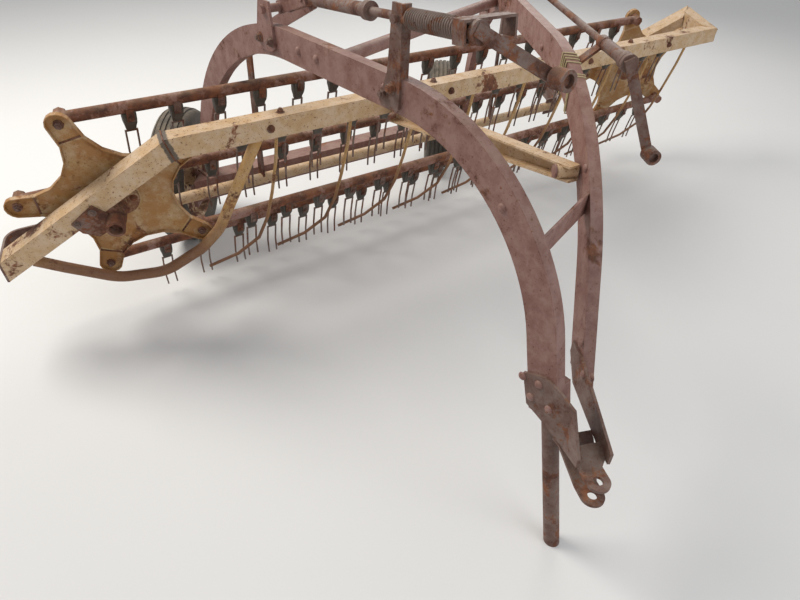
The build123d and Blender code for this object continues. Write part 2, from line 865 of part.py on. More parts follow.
# Stripper rods and the guard in front of the near spider
def stripper(number):
    place = tooth_first + (stripper_first + number * stripper_every) * tooth_pitch
    base = spider_centre + rail_dir * place - reel_front * bar_offset
    points = [base + reel_across * a + reel_up * b for a, b in stripper_points]
    lift = (rail_start.Z - rail_size / 2 - points[0].Z) / reel_up.Z
    points[0] = points[0] + reel_up * (lift + 10)
    start = Plane(origin=points[0], x_dir=reel_front, z_dir=points[1] - points[0])
    section = start * RegularPolygon(stripper_radius, 6)
    shape = sweep(section, path=Polyline(*points), transition=Transition.RIGHT)
    return shape & half_space(on_rail(0, 0, -rail_size / 2), UP * -1)


pieces["stripper_rods"] = together([stripper(number) for number in range(stripper_count)])

guard_places = [reel_point(*point) for point in guard_points]
guard_path = FilletPolyline(*guard_places, radius=guard_bends)
guard_start = Plane(origin=guard_places[0], z_dir=guard_places[1] - guard_places[0])
guard = sweep(guard_start * Circle(guard_radius), path=guard_path)
guard = guard & half_space(on_rail(0, 0, -rail_size / 2), UP * -1)
pieces["near_guard"] = guard - end_tube

# Rear beam
right_leg_u = (foot_centre - rail_start).dot(rail_dir)
beam_centre_z = rear_beam_top - rear_beam_height / 2
left_leg_place = left_arch.at(left_arch.leg, 0, web_face)
left_wheel_x = left_leg_place.X - axle_plate_steel - tyre_gap - tyre_width / 2
left_beam_end = left_wheel_x - tyre_width / 2 - tyre_gap
right_wheel_x = beam_end_x - axle_plate_steel - tyre_gap - tyre_width / 2


def wheel_centre(x):
    back = rail_start + rail_back * wheel_offset
    along = (x - back.X) / rail_dir.X
    place = back + rail_dir * along
    return Vector(x, place.Y, axle_height)


def beam_place(x):
    back = rail_start + rail_back * leg_offset
    along = (x - back.X) / rail_dir.X
    place = back + rail_dir * along
    return Vector(x, place.Y, beam_centre_z)


beam_start = beam_place(beam_end_x - 100)
beam_finish = beam_place(left_beam_end + 100)
beam_span = beam_finish - beam_start
beam_plane = Plane(origin=beam_start, x_dir=UP.cross(beam_span), z_dir=beam_span)
beam_section = Rectangle(rear_beam_width, rear_beam_height)
beam_hollow = Rectangle(rear_beam_width - 2 * rear_beam_wall, rear_beam_height - 2 * rear_beam_wall)
rear_beam = extrude(beam_plane * (beam_section - beam_hollow), beam_span.length)
rear_beam = rear_beam & half_space(Vector(beam_end_x, 0, 0), Vector(1, 0, 0))
rear_beam = rear_beam & half_space(Vector(left_beam_end - axle_plate_steel, 0, 0), Vector(-1, 0, 0))
pieces["rear_beam"] = rear_beam

# Axles
right_wheel = wheel_centre(right_wheel_x)
left_wheel = wheel_centre(left_wheel_x)


def axle_plate(x, front_y, back_y):
    """An upright plate in a fore-and-aft plane, from the beam back to the axle."""
    low = axle_height - axle_plate_height / 2
    place = Vector(x, (front_y + back_y) / 2, low)
    plan = Plane(origin=place, x_dir=(0, 1, 0), z_dir=UP)
    return extrude(plan * Rectangle(back_y - front_y, axle_plate_steel), axle_plate_height)


hub_half = wheel_hub_length / 2
plate_reach = axle_plate_height / 2
spindle_end = hub_half + face_clearance
right_plate_x = beam_end_x - axle_plate_steel / 2
right_plate = axle_plate(right_plate_x, beam_place(beam_end_x).Y - 50, right_wheel.Y + plate_reach)
sideways = Vector(1, 0, 0)
right_spindle = rod(
    Vector(right_plate_x, right_wheel.Y, axle_height),
    right_wheel - sideways * spindle_end,
    spindle_radius,
)
right_collar = rod(
    Vector(beam_end_x - axle_plate_steel, right_wheel.Y, axle_height),
    right_wheel + sideways * spindle_end,
    hub_cap_radius,
)
right_nut = rod(
    right_wheel - sideways * spindle_end,
    right_wheel - sideways * (spindle_end + hub_cap_length),
    hub_cap_radius,
)
pieces["right_axle"] = right_plate + right_spindle + right_collar + right_nut

left_inner_x = left_beam_end - axle_plate_steel / 2
left_outer_x = left_wheel_x + tyre_width / 2 + tyre_gap + axle_plate_steel / 2
left_inner = axle_plate(left_inner_x, beam_place(left_beam_end).Y - 50, left_wheel.Y + plate_reach)
left_outer = axle_plate(left_outer_x, left_leg_place.Y - beam_depth / 2, left_wheel.Y + plate_reach)
left_spindle = rod(
    Vector(left_inner_x, left_wheel.Y, axle_height),
    Vector(left_outer_x, left_wheel.Y, axle_height),
    spindle_radius,
)
left_axle = left_inner + left_outer + left_spindle
for x, way in ((left_beam_end, -1), (left_outer_x - axle_plate_steel / 2, 1)):
    left_axle += rod(
        Vector(x, left_wheel.Y, axle_height),
        left_wheel + sideways * (way * spindle_end),
        hub_cap_radius,
    )
pieces["left_axle"] = left_axle - left_beam


# Wheels
def wheel_plane(centre):
    """A drawing plane through the axle, x sideways and y outwards from it."""
    return Plane(origin=centre, x_dir=(1, 0, 0), z_dir=(0, 1, 0))


def wheel_rim(centre):
    """Rim with bead edges, dished disc and hub."""
    half = rim_width / 2
    seat = rim_radius
    profile = [
        (-half, seat + flange_rise),
        (-half + seat_width, seat),
        (half - seat_width, seat),
        (half, seat + flange_rise),
        (half, seat - rim_wall),
        (disc_place + disc_steel, seat - rim_wall),
        (disc_dish + disc_steel, wheel_hub_radius),
        (hub_half, wheel_hub_radius),
        (hub_half, spindle_radius + running_clearance),
        (-hub_half, spindle_radius + running_clearance),
        (-hub_half, wheel_hub_radius),
        (disc_dish, wheel_hub_radius),
        (disc_place, seat - rim_wall),
        (-half, seat - rim_wall),
    ]
    face = wheel_plane(centre) * make_face(Polyline(*profile, close=True))
    return revolve(face, axis=Axis(centre, (1, 0, 0)))


def tyre(centre):
    """A plain implement tyre, open towards the rim that its two beads sit on."""
    half = tyre_width / 2
    bead = rim_width / 2 - bead_inset
    side = [
        (half - shoulder_width, tyre_radius),
        (half, tyre_radius - shoulder_height),
        (bead, rim_radius),
        (bead - bead_width, rim_radius),
    ]
    other = [(-x, y) for x, y in reversed(side)]
    crown = (0, tyre_radius - tread_depth)
    face = wheel_plane(centre) * make_face(Polyline(*side, crown, *other, close=True))
    return revolve(face, axis=Axis(centre, (1, 0, 0)))


for name, centre in (("right", right_wheel), ("left", left_wheel)):
    pieces[f"{name}_wheel_rim"] = wheel_rim(centre)
    pieces[f"{name}_tyre"] = tyre(centre)

# Draft arm: a tapered channel from the pin on the left arch to the rail
draft_pivot = left_arch.at(draft_pivot_s, draft_pivot_z, draft_side)
draft_rear = on_rail(draft_rail_place, -rail_size / 2, -draft_rail_drop)
draft_span = draft_rear - draft_pivot
draft_way = draft_span.normalized()
draft_face = draft_way.cross(UP).normalized()
draft_up = draft_face.cross(draft_way)


def draft_block(front_width, rear_width, side_from, side_to):
    plane = Plane(origin=draft_pivot + draft_face * side_from, x_dir=draft_way, z_dir=draft_face)
    length = draft_span.length + 80
    outline = [
        (-30, -front_width / 2),
        (length, -rear_width / 2),
        (length, rear_width / 2),
        (-30, front_width / 2),
    ]
    face = make_face(Polyline(*outline, close=True))
    return extrude(plane * face, side_to - side_from)


half_depth = draft_depth / 2
draft = draft_block(draft_front_width, draft_rear_width, -half_depth, half_depth)
draft_hollow = draft_block(
    draft_front_width - 2 * draft_steel,
    draft_rear_width - 2 * draft_steel,
    -half_depth - 10,
    half_depth - draft_steel,
)
draft = draft - draft_hollow
draft = draft & half_space(on_rail(0, -rail_size / 2), rail_back * -1)
draft = draft & half_space(left_arch.at(0, 0, web_face - draft_gap), left_arch.side * -1)
pin_way = left_arch.side * -1
boss_end = draft_pivot + pin_way * (half_depth + draft_boss_rise)
draft += rod(left_arch.at(draft_pivot_s, draft_pivot_z, web_face - draft_gap), boss_end, draft_boss_radius)
draft_bore = rod(draft_pivot - pin_way * 200, draft_pivot + pin_way * 200, draft_pin_radius + running_clearance)
pieces["draft_arm"] = draft - draft_bore
pin_start = left_arch.at(draft_pivot_s, draft_pivot_z, web_face)
washer_start = boss_end + pin_way * face_clearance
left_beam += rod(pin_start, washer_start, draft_pin_radius)
left_beam += rod(washer_start, washer_start + pin_way * pin_washer, draft_pin_radius + 7)
pieces["left_arch_beam"] = left_beam


# Hangers on the rear rail, whose pins rest in the hooks of the bell cranks
def hanger_bar_side(side):
    return side + crank_arm_steel / 2 + crank_arm_gap + hanger_steel / 2


def hanger(arch, side, hook_z):
    """A flat bar up from the rear rail with a pin across its top."""
    bar_side = hanger_bar_side(side)
    along = arch.reach(hanger_place, bar_side)
    bottom = arch.at(along, rail_rear_start.Z, bar_side)
    top = arch.at(along, hook_z + hanger_width / 2, bar_side)
    shape = bar_between(bottom, top, hanger_width, hanger_steel, arch.side)
    pin_start = arch.at(along, hook_z, side - crank_arm_steel / 2 - crank_arm_gap)
    pin_end = arch.at(along, hook_z, bar_side + hanger_steel)
    shape += rod(pin_start, pin_end, lift_pin_radius)
    head_start = arch.at(along, hook_z, side - crank_arm_steel / 2 - crank_arm_gap)
    head_end = arch.at(along, hook_z, side - crank_arm_steel / 2 - crank_arm_gap - 6)
    shape += rod(head_start, head_end, lift_pin_radius + 6)
    return shape - rod(near_turn, far_turn, rear_rail_radius)


right_hanger = hanger(right_arch, right_hanger_side, right_hanger_z)
left_hanger = hanger(left_arch, left_hanger_side, left_hanger_z)
pieces["lift_hangers"] = together([right_hanger, left_hanger])


# Bell cranks: a shaft across the arch with an arm to the rod and an arm to the hanger
def hook_arm(arch, pivot, side, hook_z):
    """An arm whose far end is hollowed on top to carry the hanger's pin."""
    along = arch.reach(hanger_place, hanger_bar_side(side))
    start_s, start_z = pivot
    length = math.hypot(along - start_s, hook_z - start_z)
    way_s, way_z = (along - start_s) / length, (hook_z - start_z) / length
    across_s, across_z = -way_z, way_s
    if across_z < 0:
        across_s, across_z = -across_s, -across_z

    def spot(run, rise):
        return (start_s + way_s * run + across_s * rise, start_z + way_z * run + across_z * rise)

    points = [
        spot(-24, -24),
        spot(-24, 24),
        spot(length - 50, 22),
        spot(length - 30, 2),
        spot(length + 26, 2),
        spot(length + 26, -22),
        spot(length - 40, -26),
    ]
    shape = arch.sheet(points, side - crank_arm_steel / 2, crank_arm_steel)
    low, high = side - crank_arm_steel, side + crank_arm_steel
    seat = lift_pin_radius + lift_pin_clearance
    shape = shape - rod(arch.at(along, hook_z, low), arch.at(along, hook_z, high), seat)
    clear = [
        (along - seat, hook_z),
        (along + seat, hook_z),
        (along + seat + 6, hook_z + 60),
        (along - seat - 6, hook_z + 60),
    ]
    return shape - arch.sheet(clear, low, high - low)


def rod_arm(arch, pivot, target, side):
    """A short arm from the crank's shaft up to the lift rod's end."""
    start = arch.at(pivot[0], pivot[1], side)
    end = arch.at(target[0], target[1], side)
    way = (end - start).normalized()
    return bar_between(start - way * 18, end + way * 18, 40, crank_arm_steel, arch.side)


def bell_crank(arch, pivot, target, rod_side, hook_side, hook_z):
    shaft = rod(
        arch.at(pivot[0], pivot[1], plate_face - 12),
        arch.at(pivot[0], pivot[1], hook_side + 18),
        pivot_radius,
    )
    fork = crank_arm_steel / 2 + lift_rod_radius + 2
    shape = shaft + hook_arm(arch, pivot, hook_side, hook_z)
    for side in (rod_side - fork, rod_side + fork):
        shape += rod_arm(arch, pivot, target, side)
    pin_reach = fork + crank_arm_steel
    pin = rod(
        arch.at(target[0], target[1], rod_side - pin_reach),
        arch.at(target[0], target[1], rod_side + pin_reach),
        lift_pin_radius - 2,
    )
    return shape + pin


def pivot_bracket(arch, pivot, low_z, spread):
    """A plate on the web that stands up over the beam and carries a crank's shaft."""
    points = [
        (pivot[0] - 30, pivot[1] + 26),
        (pivot[0] + 30, pivot[1] + 26),
        (pivot[0] + spread, low_z + 14),
        (pivot[0] + spread - 16, low_z),
        (pivot[0] - spread + 36, low_z),
        (pivot[0] - spread + 10, low_z + 14),
    ]
    return arch.sheet(points, plate_face, plate_thickness)


right_crank = bell_crank(
    right_arch, right_pivot, right_outer_arm, right_rod_rear[2], right_hanger_side, right_hanger_z
)
left_crank = bell_crank(
    left_arch, left_pivot, left_outer_arm, left_rod_rear[2], left_hanger_side, left_hanger_z
)
right_house = pivot_bracket(right_arch, right_pivot, 1116, 62) - right_crank
left_house = pivot_bracket(left_arch, left_pivot, left_arch.middle_at(left_pivot[0]) - 34, 62) - left_crank
pieces["right_bell_crank"] = right_crank
pieces["left_bell_crank"] = left_crank
pieces["right_crank_bracket"] = right_house
pieces["left_crank_bracket"] = left_house


# Lift rods with their front brackets, spring, stirrup and hand cranks
def rod_place(arch, place):
    return arch.at(place[0], place[1], place[2])


def lift_rod(arch, rear, front, tube_from, tube_to):
    """A thin rod from the bell crank to the hand crank, sleeved with a tube for part of its way."""
    back, nose = rod_place(arch, rear), rod_place(arch, front)
    span = nose - back
    way = span.normalized()
    shape = rod(back, nose, lift_rod_radius)
    shape += rod(back + span * tube_from, back + span * tube_to, lift_tube_radius)
    collar = back + span * tube_to
    return shape + rod(collar - way * 8, collar + way * 14, lift_tube_radius + 6)


def on_rod(arch, rear, front, along):
    """The place on a rod's middle line at a distance along its arch."""
    back, nose = rod_place(arch, rear), rod_place(arch, front)
    share = (along - rear[0]) / (front[0] - rear[0])
    return back + (nose - back) * share


right_rod = lift_rod(right_arch, right_rod_rear, right_rod_front, 0.05, right_tube_share) - right_crank
left_rod = lift_rod(left_arch, left_rod_rear, left_rod_front, left_tube_share, 0.985) - left_crank
right_way = (rod_place(right_arch, right_rod_front) - rod_place(right_arch, right_rod_rear)).normalized()
left_way = (rod_place(left_arch, left_rod_front) - rod_place(left_arch, left_rod_rear)).normalized()

right_pin = on_rod(right_arch, right_rod_rear, right_rod_front, right_bracket_s)
right_bracket_points = [
    (right_bracket_s - 18, 1376),
    (right_bracket_s + 18, 1376),
    (right_bracket_s + 30, 1210),
    (right_bracket_s + 60, 1130),
    (right_bracket_s + 50, 1116),
    (right_bracket_s - 8, 1112),
    (right_bracket_s - 20, 1124),
]
bracket_flange_points = [
    (right_bracket_s - 20, beam_top),
    (right_bracket_s - 12, beam_top),
    (right_bracket_s - 12, 1376),
    (right_bracket_s - 20, 1376),
]
trunnion_half = right_way * trunnion_length / 2
right_bracket = right_arch.sheet(right_bracket_points, plate_face, plate_thickness)
right_bracket += right_arch.sheet(bracket_flange_points, plate_face, bracket_flange_width)
right_bracket += rod(right_pin - trunnion_half, right_pin + right_way * spring_seat, lift_rod_radius + 8)
right_bracket += rod(right_pin, right_pin - right_arch.side * 36, lift_pin_radius)
pieces["right_lift_rod"] = right_rod
pieces["right_rod_bracket"] = right_bracket - right_rod

left_pin = on_rod(left_arch, left_rod_rear, left_rod_front, left_bracket_s)
left_bracket_points = [
    (left_bracket_s - 34, 1094),
    (left_bracket_s + 22, 1100),
    (left_bracket_s + 22, 1184),
    (left_bracket_s - 30, 1176),
]
left_trunnion_half = left_way * trunnion_length / 2
left_foot = left_arch.at(left_bracket_s - 4, 1140, beam_flange / 2 + plate_thickness / 2)
left_bracket = left_arch.sheet(left_bracket_points, beam_flange / 2, plate_thickness)
left_bracket += bar_between(left_foot, left_pin, 40, plate_thickness, left_arch.along.cross(left_pin - left_foot))
left_bracket += rod(left_pin - left_trunnion_half, left_pin + left_trunnion_half, lift_rod_radius + 9)
pieces["left_lift_rod"] = left_rod
pieces["left_rod_bracket"] = left_bracket - left_rod


def coil_spring(start, end):
    """A coil spring as a row of rings on a thinner core, in one piece."""
    span = end - start
    pitch = span.length / spring_coils
    shape = prism(start, end, spring_radius - spring_wire)
    for coil in range(spring_coils):
        ring_start = start + span.normalized() * (pitch * (coil + spring_ring_gap / 2))
        ring_end = ring_start + span.normalized() * (pitch * (1 - spring_ring_gap))
        shape += prism(ring_start, ring_end, spring_radius)
    return shape - rod(start - span, end + span, spring_bore)


spring_start = right_pin + right_way * spring_seat
spring_end = rod_place(right_arch, right_rod_front) - right_way * (stirrup_width + washer_thickness)
pieces["lift_spring"] = coil_spring(spring_start, spring_end)

# Stirrup round the right rod's front end, closed off by two washers
stirrup_side = right_way.cross(UP).normalized()
if stirrup_side.X < 0:
    stirrup_side = stirrup_side * -1
stirrup_start = rod_place(right_arch, right_rod_front) - right_way * stirrup_width
stirrup_plane = Plane(origin=stirrup_start, x_dir=stirrup_side, z_dir=right_way)
stirrup_outside = stirrup_plane * Pos(stirrup_length / 2 - 34, 0) * Rectangle(stirrup_length, stirrup_height)
stirrup_inside = (
    stirrup_plane
    * Pos(stirrup_length / 2 - 34, 0)
    * Rectangle(stirrup_length - 2 * stirrup_steel, stirrup_height - 2 * stirrup_steel)
)
stirrup = extrude(stirrup_outside, stirrup_width) - extrude(stirrup_inside, stirrup_width)
stirrup += rod(stirrup_start, stirrup_start - right_way * washer_thickness, stirrup_height / 2)
pieces["rod_stirrup"] = stirrup - right_rod


def hand_crank(nose, way, reach):
    """A hub on the rod's end, a flat arm and a knob that points forwards."""
    shape = rod(nose, nose + way * crank_hub, stirrup_height / 2)
    arm_start = nose + way * (crank_hub + crank_steel / 2)
    arm_end = arm_start + reach
    arm_way = (arm_end - arm_start).normalized()
    shape += bar_between(arm_start - arm_way * 16, arm_end + arm_way * 16, crank_width, crank_steel, way)
    knob_start = arm_end + way * (crank_steel / 2)
    knob = rod(knob_start, knob_start + way * knob_length, knob_radius)
    knob = knob - rod(knob_start + way * (knob_length - 12), knob_start + way * (knob_length + 5), knob_radius - 9)
    return shape + knob


right_nose = rod_place(right_arch, right_rod_front)
left_nose = rod_place(left_arch, left_rod_front)
pieces["right_hand_crank"] = hand_crank(right_nose, right_way, Vector(*right_crank_reach))
pieces["left_hand_crank"] = hand_crank(left_nose, left_way, Vector(*left_crank_reach))

# Move everything so that the origin lies on the ground under the middle of the rake
boxes = [shape.bounding_box() for shape in pieces.values()]
middle_x = (min(box.min.X for box in boxes) + max(box.max.X for box in boxes)) / 2
middle_y = (min(box.min.Y for box in boxes) + max(box.max.Y for box in boxes)) / 2
shift = Vector(-middle_x, -middle_y, 0)
for name, shape in pieces.items():
    export_step(Pos(shift) * shape, f"parts/{name}.step")

places = {
    "shift": shift,
    "reel": spider_centre + shift,
    "far reel": far_centre + shift,
    "reel axis": reel_front,
    "rail": rail_dir,
    "right wheel": right_wheel + shift,
    "left wheel": left_wheel + shift,
    "lift": draft_pivot + shift,
    "lift axis": left_arch.side,
    "stand": stand_at(0) + shift,
    "stand axis": stand_dir,
    "pin low": hitch_at(0, 0, hitch_pin_height - hitch_ear_thickness / 2) + shift,
    "pin high": hitch_at(0, 0, upper_level + hitch_ear_thickness / 2) + shift,
}
for arm in range(arm_count):
    places[f"bar {arm + 1}"] = pivot_place(arm, 0) + shift
for name, place in places.items():
    print(name, round(place.X, 3), round(place.Y, 3), round(place.Z, 3))
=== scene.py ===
import json
import math

import bmesh
import bpy
from mathutils import Matrix, Vector


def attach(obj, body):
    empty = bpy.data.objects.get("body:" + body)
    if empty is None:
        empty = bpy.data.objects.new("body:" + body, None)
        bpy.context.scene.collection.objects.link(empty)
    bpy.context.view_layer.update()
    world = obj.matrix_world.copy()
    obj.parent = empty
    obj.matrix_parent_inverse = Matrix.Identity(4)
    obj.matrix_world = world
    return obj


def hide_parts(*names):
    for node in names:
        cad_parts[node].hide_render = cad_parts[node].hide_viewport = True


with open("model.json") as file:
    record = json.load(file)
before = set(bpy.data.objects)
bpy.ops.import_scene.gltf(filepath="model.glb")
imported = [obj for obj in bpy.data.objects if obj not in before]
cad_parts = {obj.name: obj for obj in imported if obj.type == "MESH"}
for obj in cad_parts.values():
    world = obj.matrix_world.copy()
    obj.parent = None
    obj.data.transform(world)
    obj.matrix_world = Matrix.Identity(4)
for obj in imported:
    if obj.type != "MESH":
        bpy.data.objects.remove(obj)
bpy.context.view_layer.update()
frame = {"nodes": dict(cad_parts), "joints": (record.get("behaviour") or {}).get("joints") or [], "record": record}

bl_info = {
    "name": "Side delivery rake",
    "version": (1, 0, 0),
    "blender": (4, 5, 0),
    "location": "View3D > Sidebar > Rake",
    "description": "Finishes, fasteners and small hardware for an oblique side delivery rake",
    "category": "Object",
}

# Places on the machine, in metres, worked out from the hitch pin and the two arches
pin_place = Vector(frame["record"]["mounts"][0]["pos_m"])
pin_place.z = 0
joints = {joint["name"]: joint for joint in frame["joints"]}


def joint_place(name):
    return Vector(joints[name]["pos_m"])


def level_way(degrees):
    """A level direction, turned from the machine's left towards its back."""
    return Vector((math.cos(math.radians(degrees)), math.sin(math.radians(degrees)), 0))


reel_axis = Vector(joints["reel_spin"]["axis"]).normalized()
reel_centre = joint_place("reel_spin")
far_centre = joint_place("far_reel_spin")
rail_way = level_way(37.4)
rail_back = Vector((-rail_way.y, rail_way.x, 0))
rail_start = pin_place + Vector((-1.325, 0.961, 0.831))
rail_half = 0.038
bar_length = 3.020
reel_across = level_way(17.4)
reel_up = reel_axis.cross(reel_across)
bar_offset = 0.0323
bars = range(1, 6)
up = Vector((0, 0, 1))


def on_reel(across, rise, out):
    """A place in the near spider's plane, and out of it along the reel's axis."""
    return reel_centre + reel_across * across + reel_up * rise + reel_axis * out


class ArchPlaces:
    """Places on one arched beam by distance along it, height and side, in metres."""

    def __init__(self, foot_x, turn):
        self.foot = pin_place + Vector((foot_x, 0.130, 0))
        self.side = level_way(turn)
        self.along = Vector((-self.side.y, self.side.x, 0))

    def at(self, along, height, side=0.0):
        return self.foot + self.along * along + up * height + self.side * side


right_arch = ArchPlaces(-0.062, 42.6)
left_arch = ArchPlaces(0.050, 6.0)
web_face, plate_face = -0.018, -0.026

# The plane of the front rail's welded corner
end_tube_low = on_reel(-0.430, -0.205, 0.082)
rail_mitre = (rail_way - (end_tube_low - rail_start).normalized()).normalized()


# Properties
def size_property(name, description, default):
    return bpy.props.FloatProperty(name=name, description=description, default=default, unit="LENGTH")


def colour_property(name, description, default):
    return bpy.props.FloatVectorProperty(
        name=name, description=description, default=default, size=4, subtype="COLOR", min=0.0, max=1.0
    )


class RakeSizes(bpy.types.PropertyGroup):
    rivet_radius: size_property("Rivet radius", "Radius of the round heads on the arches", 0.0125)
    bolt_across: size_property("Bolt size", "Width of a hexagon head across its corners", 0.026)
    small_bolt: size_property("Small bolt size", "Width of a tooth clamp's bolt head", 0.017)
    pin_head: size_property("Pin head size", "Width of the head on a tooth bar's pin", 0.025)
    wheel_bolt: size_property("Wheel bolt size", "Width of a wheel bolt's head", 0.024)
    hub_bolt: size_property("Hub bolt size", "Width of a bolt head on the spiders' hubs", 0.022)
    spring_wire: size_property("Spring wire", "Thickness of the lift spring's wire", 0.0074)
    clamp_steel: size_property("Clamp steel", "Thickness of the straps round the tooth bars", 0.003)
    twine_radius: size_property("Twine radius", "Radius of the farm twine", 0.0026)


class RakeColours(bpy.types.PropertyGroup):
    frame_paint: colour_property("Frame paint", "Oxide paint left on the arches", (0.225, 0.105, 0.082, 1))
    frame_faded: colour_property("Frame faded", "Paint that the sun has bleached", (0.325, 0.192, 0.160, 1))
    basket_paint: colour_property("Basket paint", "Cream paint on the basket", (0.580, 0.375, 0.185, 1))
    basket_faded: colour_property("Basket faded", "Bleached paint on the basket", (0.680, 0.510, 0.340, 1))
    reel_paint: colour_property("Reel paint", "Tan paint on the spiders", (0.470, 0.290, 0.110, 1))
    spider_faded: colour_property("Spider faded", "Bleached paint on the spiders", (0.560, 0.400, 0.240, 1))
    rust: colour_property("Rust", "Dry orange-brown rust", (0.225, 0.085, 0.040, 1))
    deep_rust: colour_property("Deep rust", "Old dark rust", (0.075, 0.032, 0.022, 1))
    steel: colour_property("Steel", "Weathered bare steel", (0.210, 0.150, 0.125, 1))
    plate_steel: colour_property("Plate steel", "Dark rust on plates and rods", (0.130, 0.062, 0.045, 1))
    ochre_rust: colour_property("Ochre rust", "Thin rust over the spiders' arms", (0.330, 0.150, 0.042, 1))
    ochre_paint: colour_property("Ochre paint", "Bleached paint on the rods", (0.520, 0.300, 0.090, 1))
    hub_rust: colour_property("Hub rust", "Red-brown rust round the hubs", (0.150, 0.050, 0.022, 1))
    low_rust: colour_property("Low rust", "Rust on the rods' low ends", (0.150, 0.062, 0.036, 1))
    burnt: colour_property("Burnt paint", "Paint that a weld burnt", (0.055, 0.050, 0.045, 1))
    tooth: colour_property("Tooth steel", "Dull spring steel", (0.120, 0.085, 0.065, 1))
    rubber: colour_property("Rubber", "Weathered rubber", (0.022, 0.021, 0.020, 1))
    dust: colour_property("Dust", "Dry earth and hay dust", (0.300, 0.230, 0.150, 1))
    twine: colour_property("Twine", "Sisal twine bleached by the sun", (0.520, 0.430, 0.220, 1))
    floor: colour_property("Floor", "Plain pale floor", (0.700, 0.690, 0.670, 1))


# Working by hand from code
def nothing_selected():
    if bpy.context.object and bpy.context.object.mode != "OBJECT":
        bpy.ops.object.mode_set(mode="OBJECT")
    bpy.ops.object.select_all(action="DESELECT")


def pick_only(obj):
    nothing_selected()
    obj.select_set(True)
    bpy.context.view_layer.objects.active = obj


def begin_edit(obj):
    pick_only(obj)
    bpy.ops.object.mode_set(mode="EDIT")
    bpy.ops.mesh.select_mode(type="FACE")
    bpy.ops.mesh.select_all(action="DESELECT")


def pick_faces(obj, test):
    shape = bmesh.from_edit_mesh(obj.data)
    for face in shape.faces:
        face.select = bool(test(face))
    shape.select_flush_mode()
    bmesh.update_edit_mesh(obj.data)


def end_edit():
    bpy.ops.object.mode_set(mode="OBJECT")


def begin_resized(obj, scale, centre=(0, 0, 0)):
    """Opens a mesh for editing with all of it selected and scaled about a centre."""
    begin_edit(obj)
    bpy.ops.mesh.select_all(action="SELECT")
    bpy.ops.transform.resize(value=scale, center_override=centre)


def pull_out(*offset):
    """Extrudes what is selected by an offset."""
    bpy.ops.mesh.extrude_region_move(TRANSFORM_OT_translate={"value": offset})


def close_up(merge=None):
    """Merges doubles where a distance is given, turns every face outwards and ends editing."""
    bpy.ops.mesh.select_all(action="SELECT")
    if merge:
        bpy.ops.mesh.remove_doubles(threshold=merge)
    bpy.ops.mesh.normals_make_consistent(inside=False)
    end_edit()


def join_pieces(pieces, name):
    nothing_selected()
    for piece in pieces:
        piece.select_set(True)
    bpy.context.view_layer.objects.active = pieces[0]
    if len(pieces) > 1:
        bpy.ops.object.join()
    whole = bpy.context.object
    whole.name = name
    whole.data.name = name
    return whole


def facing(place, way, turn=0.0):
    """A matrix that sets a pattern's +Z along way at a place."""
    turned = Vector(way).normalized().to_track_quat("Z", "Y").to_matrix().to_4x4()
    return Matrix.Translation(place) @ turned @ Matrix.Rotation(turn, 4, "Z")


def basis(place, x_way, z_way):
    """A matrix that sets a pattern's +X and +Z along two square directions."""
    x_unit, z_unit = x_way.normalized(), z_way.normalized()
    y_unit = z_unit.cross(x_unit)
    turned = Matrix((x_unit, y_unit, z_unit)).transposed().to_4x4()
    return Matrix.Translation(place) @ turned


def set_out(pattern, name, matrices):
    """Copies a pattern to every matrix, each copy with its own mesh, and joins them."""
    copies = []
    for matrix in matrices:
        mesh = pattern.data.copy()
        mesh.transform(matrix)
        copy = bpy.data.objects.new(name, mesh)
        bpy.context.collection.objects.link(copy)
        copies.append(copy)
    return join_pieces(copies, name)


def put_away(*patterns):
    for pattern in patterns:
        bpy.data.objects.remove(pattern, do_unlink=True)


def finish_of(name):
    return bpy.data.materials[name + " finish"]


def finished(obj, body, slot, finish=None):
    """Gives a piece its body and its finish, which is the slot's own unless named."""
    obj.data.materials.clear()
    obj.data.materials.append(finish_of(finish or slot))
    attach(obj, body)


def apply_modifiers(obj):
    pick_only(obj)
    for modifier in list(obj.modifiers):
        bpy.ops.object.modifier_apply(modifier=modifier.name)


def settle(obj):
    """Leaves a piece's place in its mesh and its object at the origin."""
    pick_only(obj)
    bpy.ops.object.transform_apply(location=True, rotation=True, scale=True)


def smooth(obj, angle=35):
    pick_only(obj)
    bpy.ops.object.shade_smooth_by_angle(angle=math.radians(angle))


# Patterns
def rivet_pattern(radius):
    """A round head, a little flatter than half a ball."""
    nothing_selected()
    bpy.ops.mesh.primitive_uv_sphere_add(segments=14, ring_count=10, radius=radius, location=(0, 0, 0))
    rivet = bpy.context.object
    begin_resized(rivet, (1, 1, 0.62))
    bpy.ops.mesh.bisect(plane_co=(0, 0, 0), plane_no=(0, 0, 1), use_fill=True, clear_inner=True)
    end_edit()
    settle(rivet)
    smooth(rivet)
    return rivet


def cylinder_pattern(radius, height, sides):
    nothing_selected()
    bpy.ops.mesh.primitive_cylinder_add(
        vertices=sides, radius=radius, depth=height, location=(0, 0, height / 2)
    )
    block = bpy.context.object
    settle(block)
    return block


def inset_top(block, thickness, depth=0.0, rise=None):
    """Sets in a pattern's top face, and pushes or pulls it along +Z where a rise is given."""
    begin_edit(block)
    pick_faces(block, lambda face: face.normal.z > 0.9)
    bpy.ops.mesh.inset(thickness=thickness, depth=depth)
    if rise is not None:
        pull_out(0, 0, rise)
    end_edit()


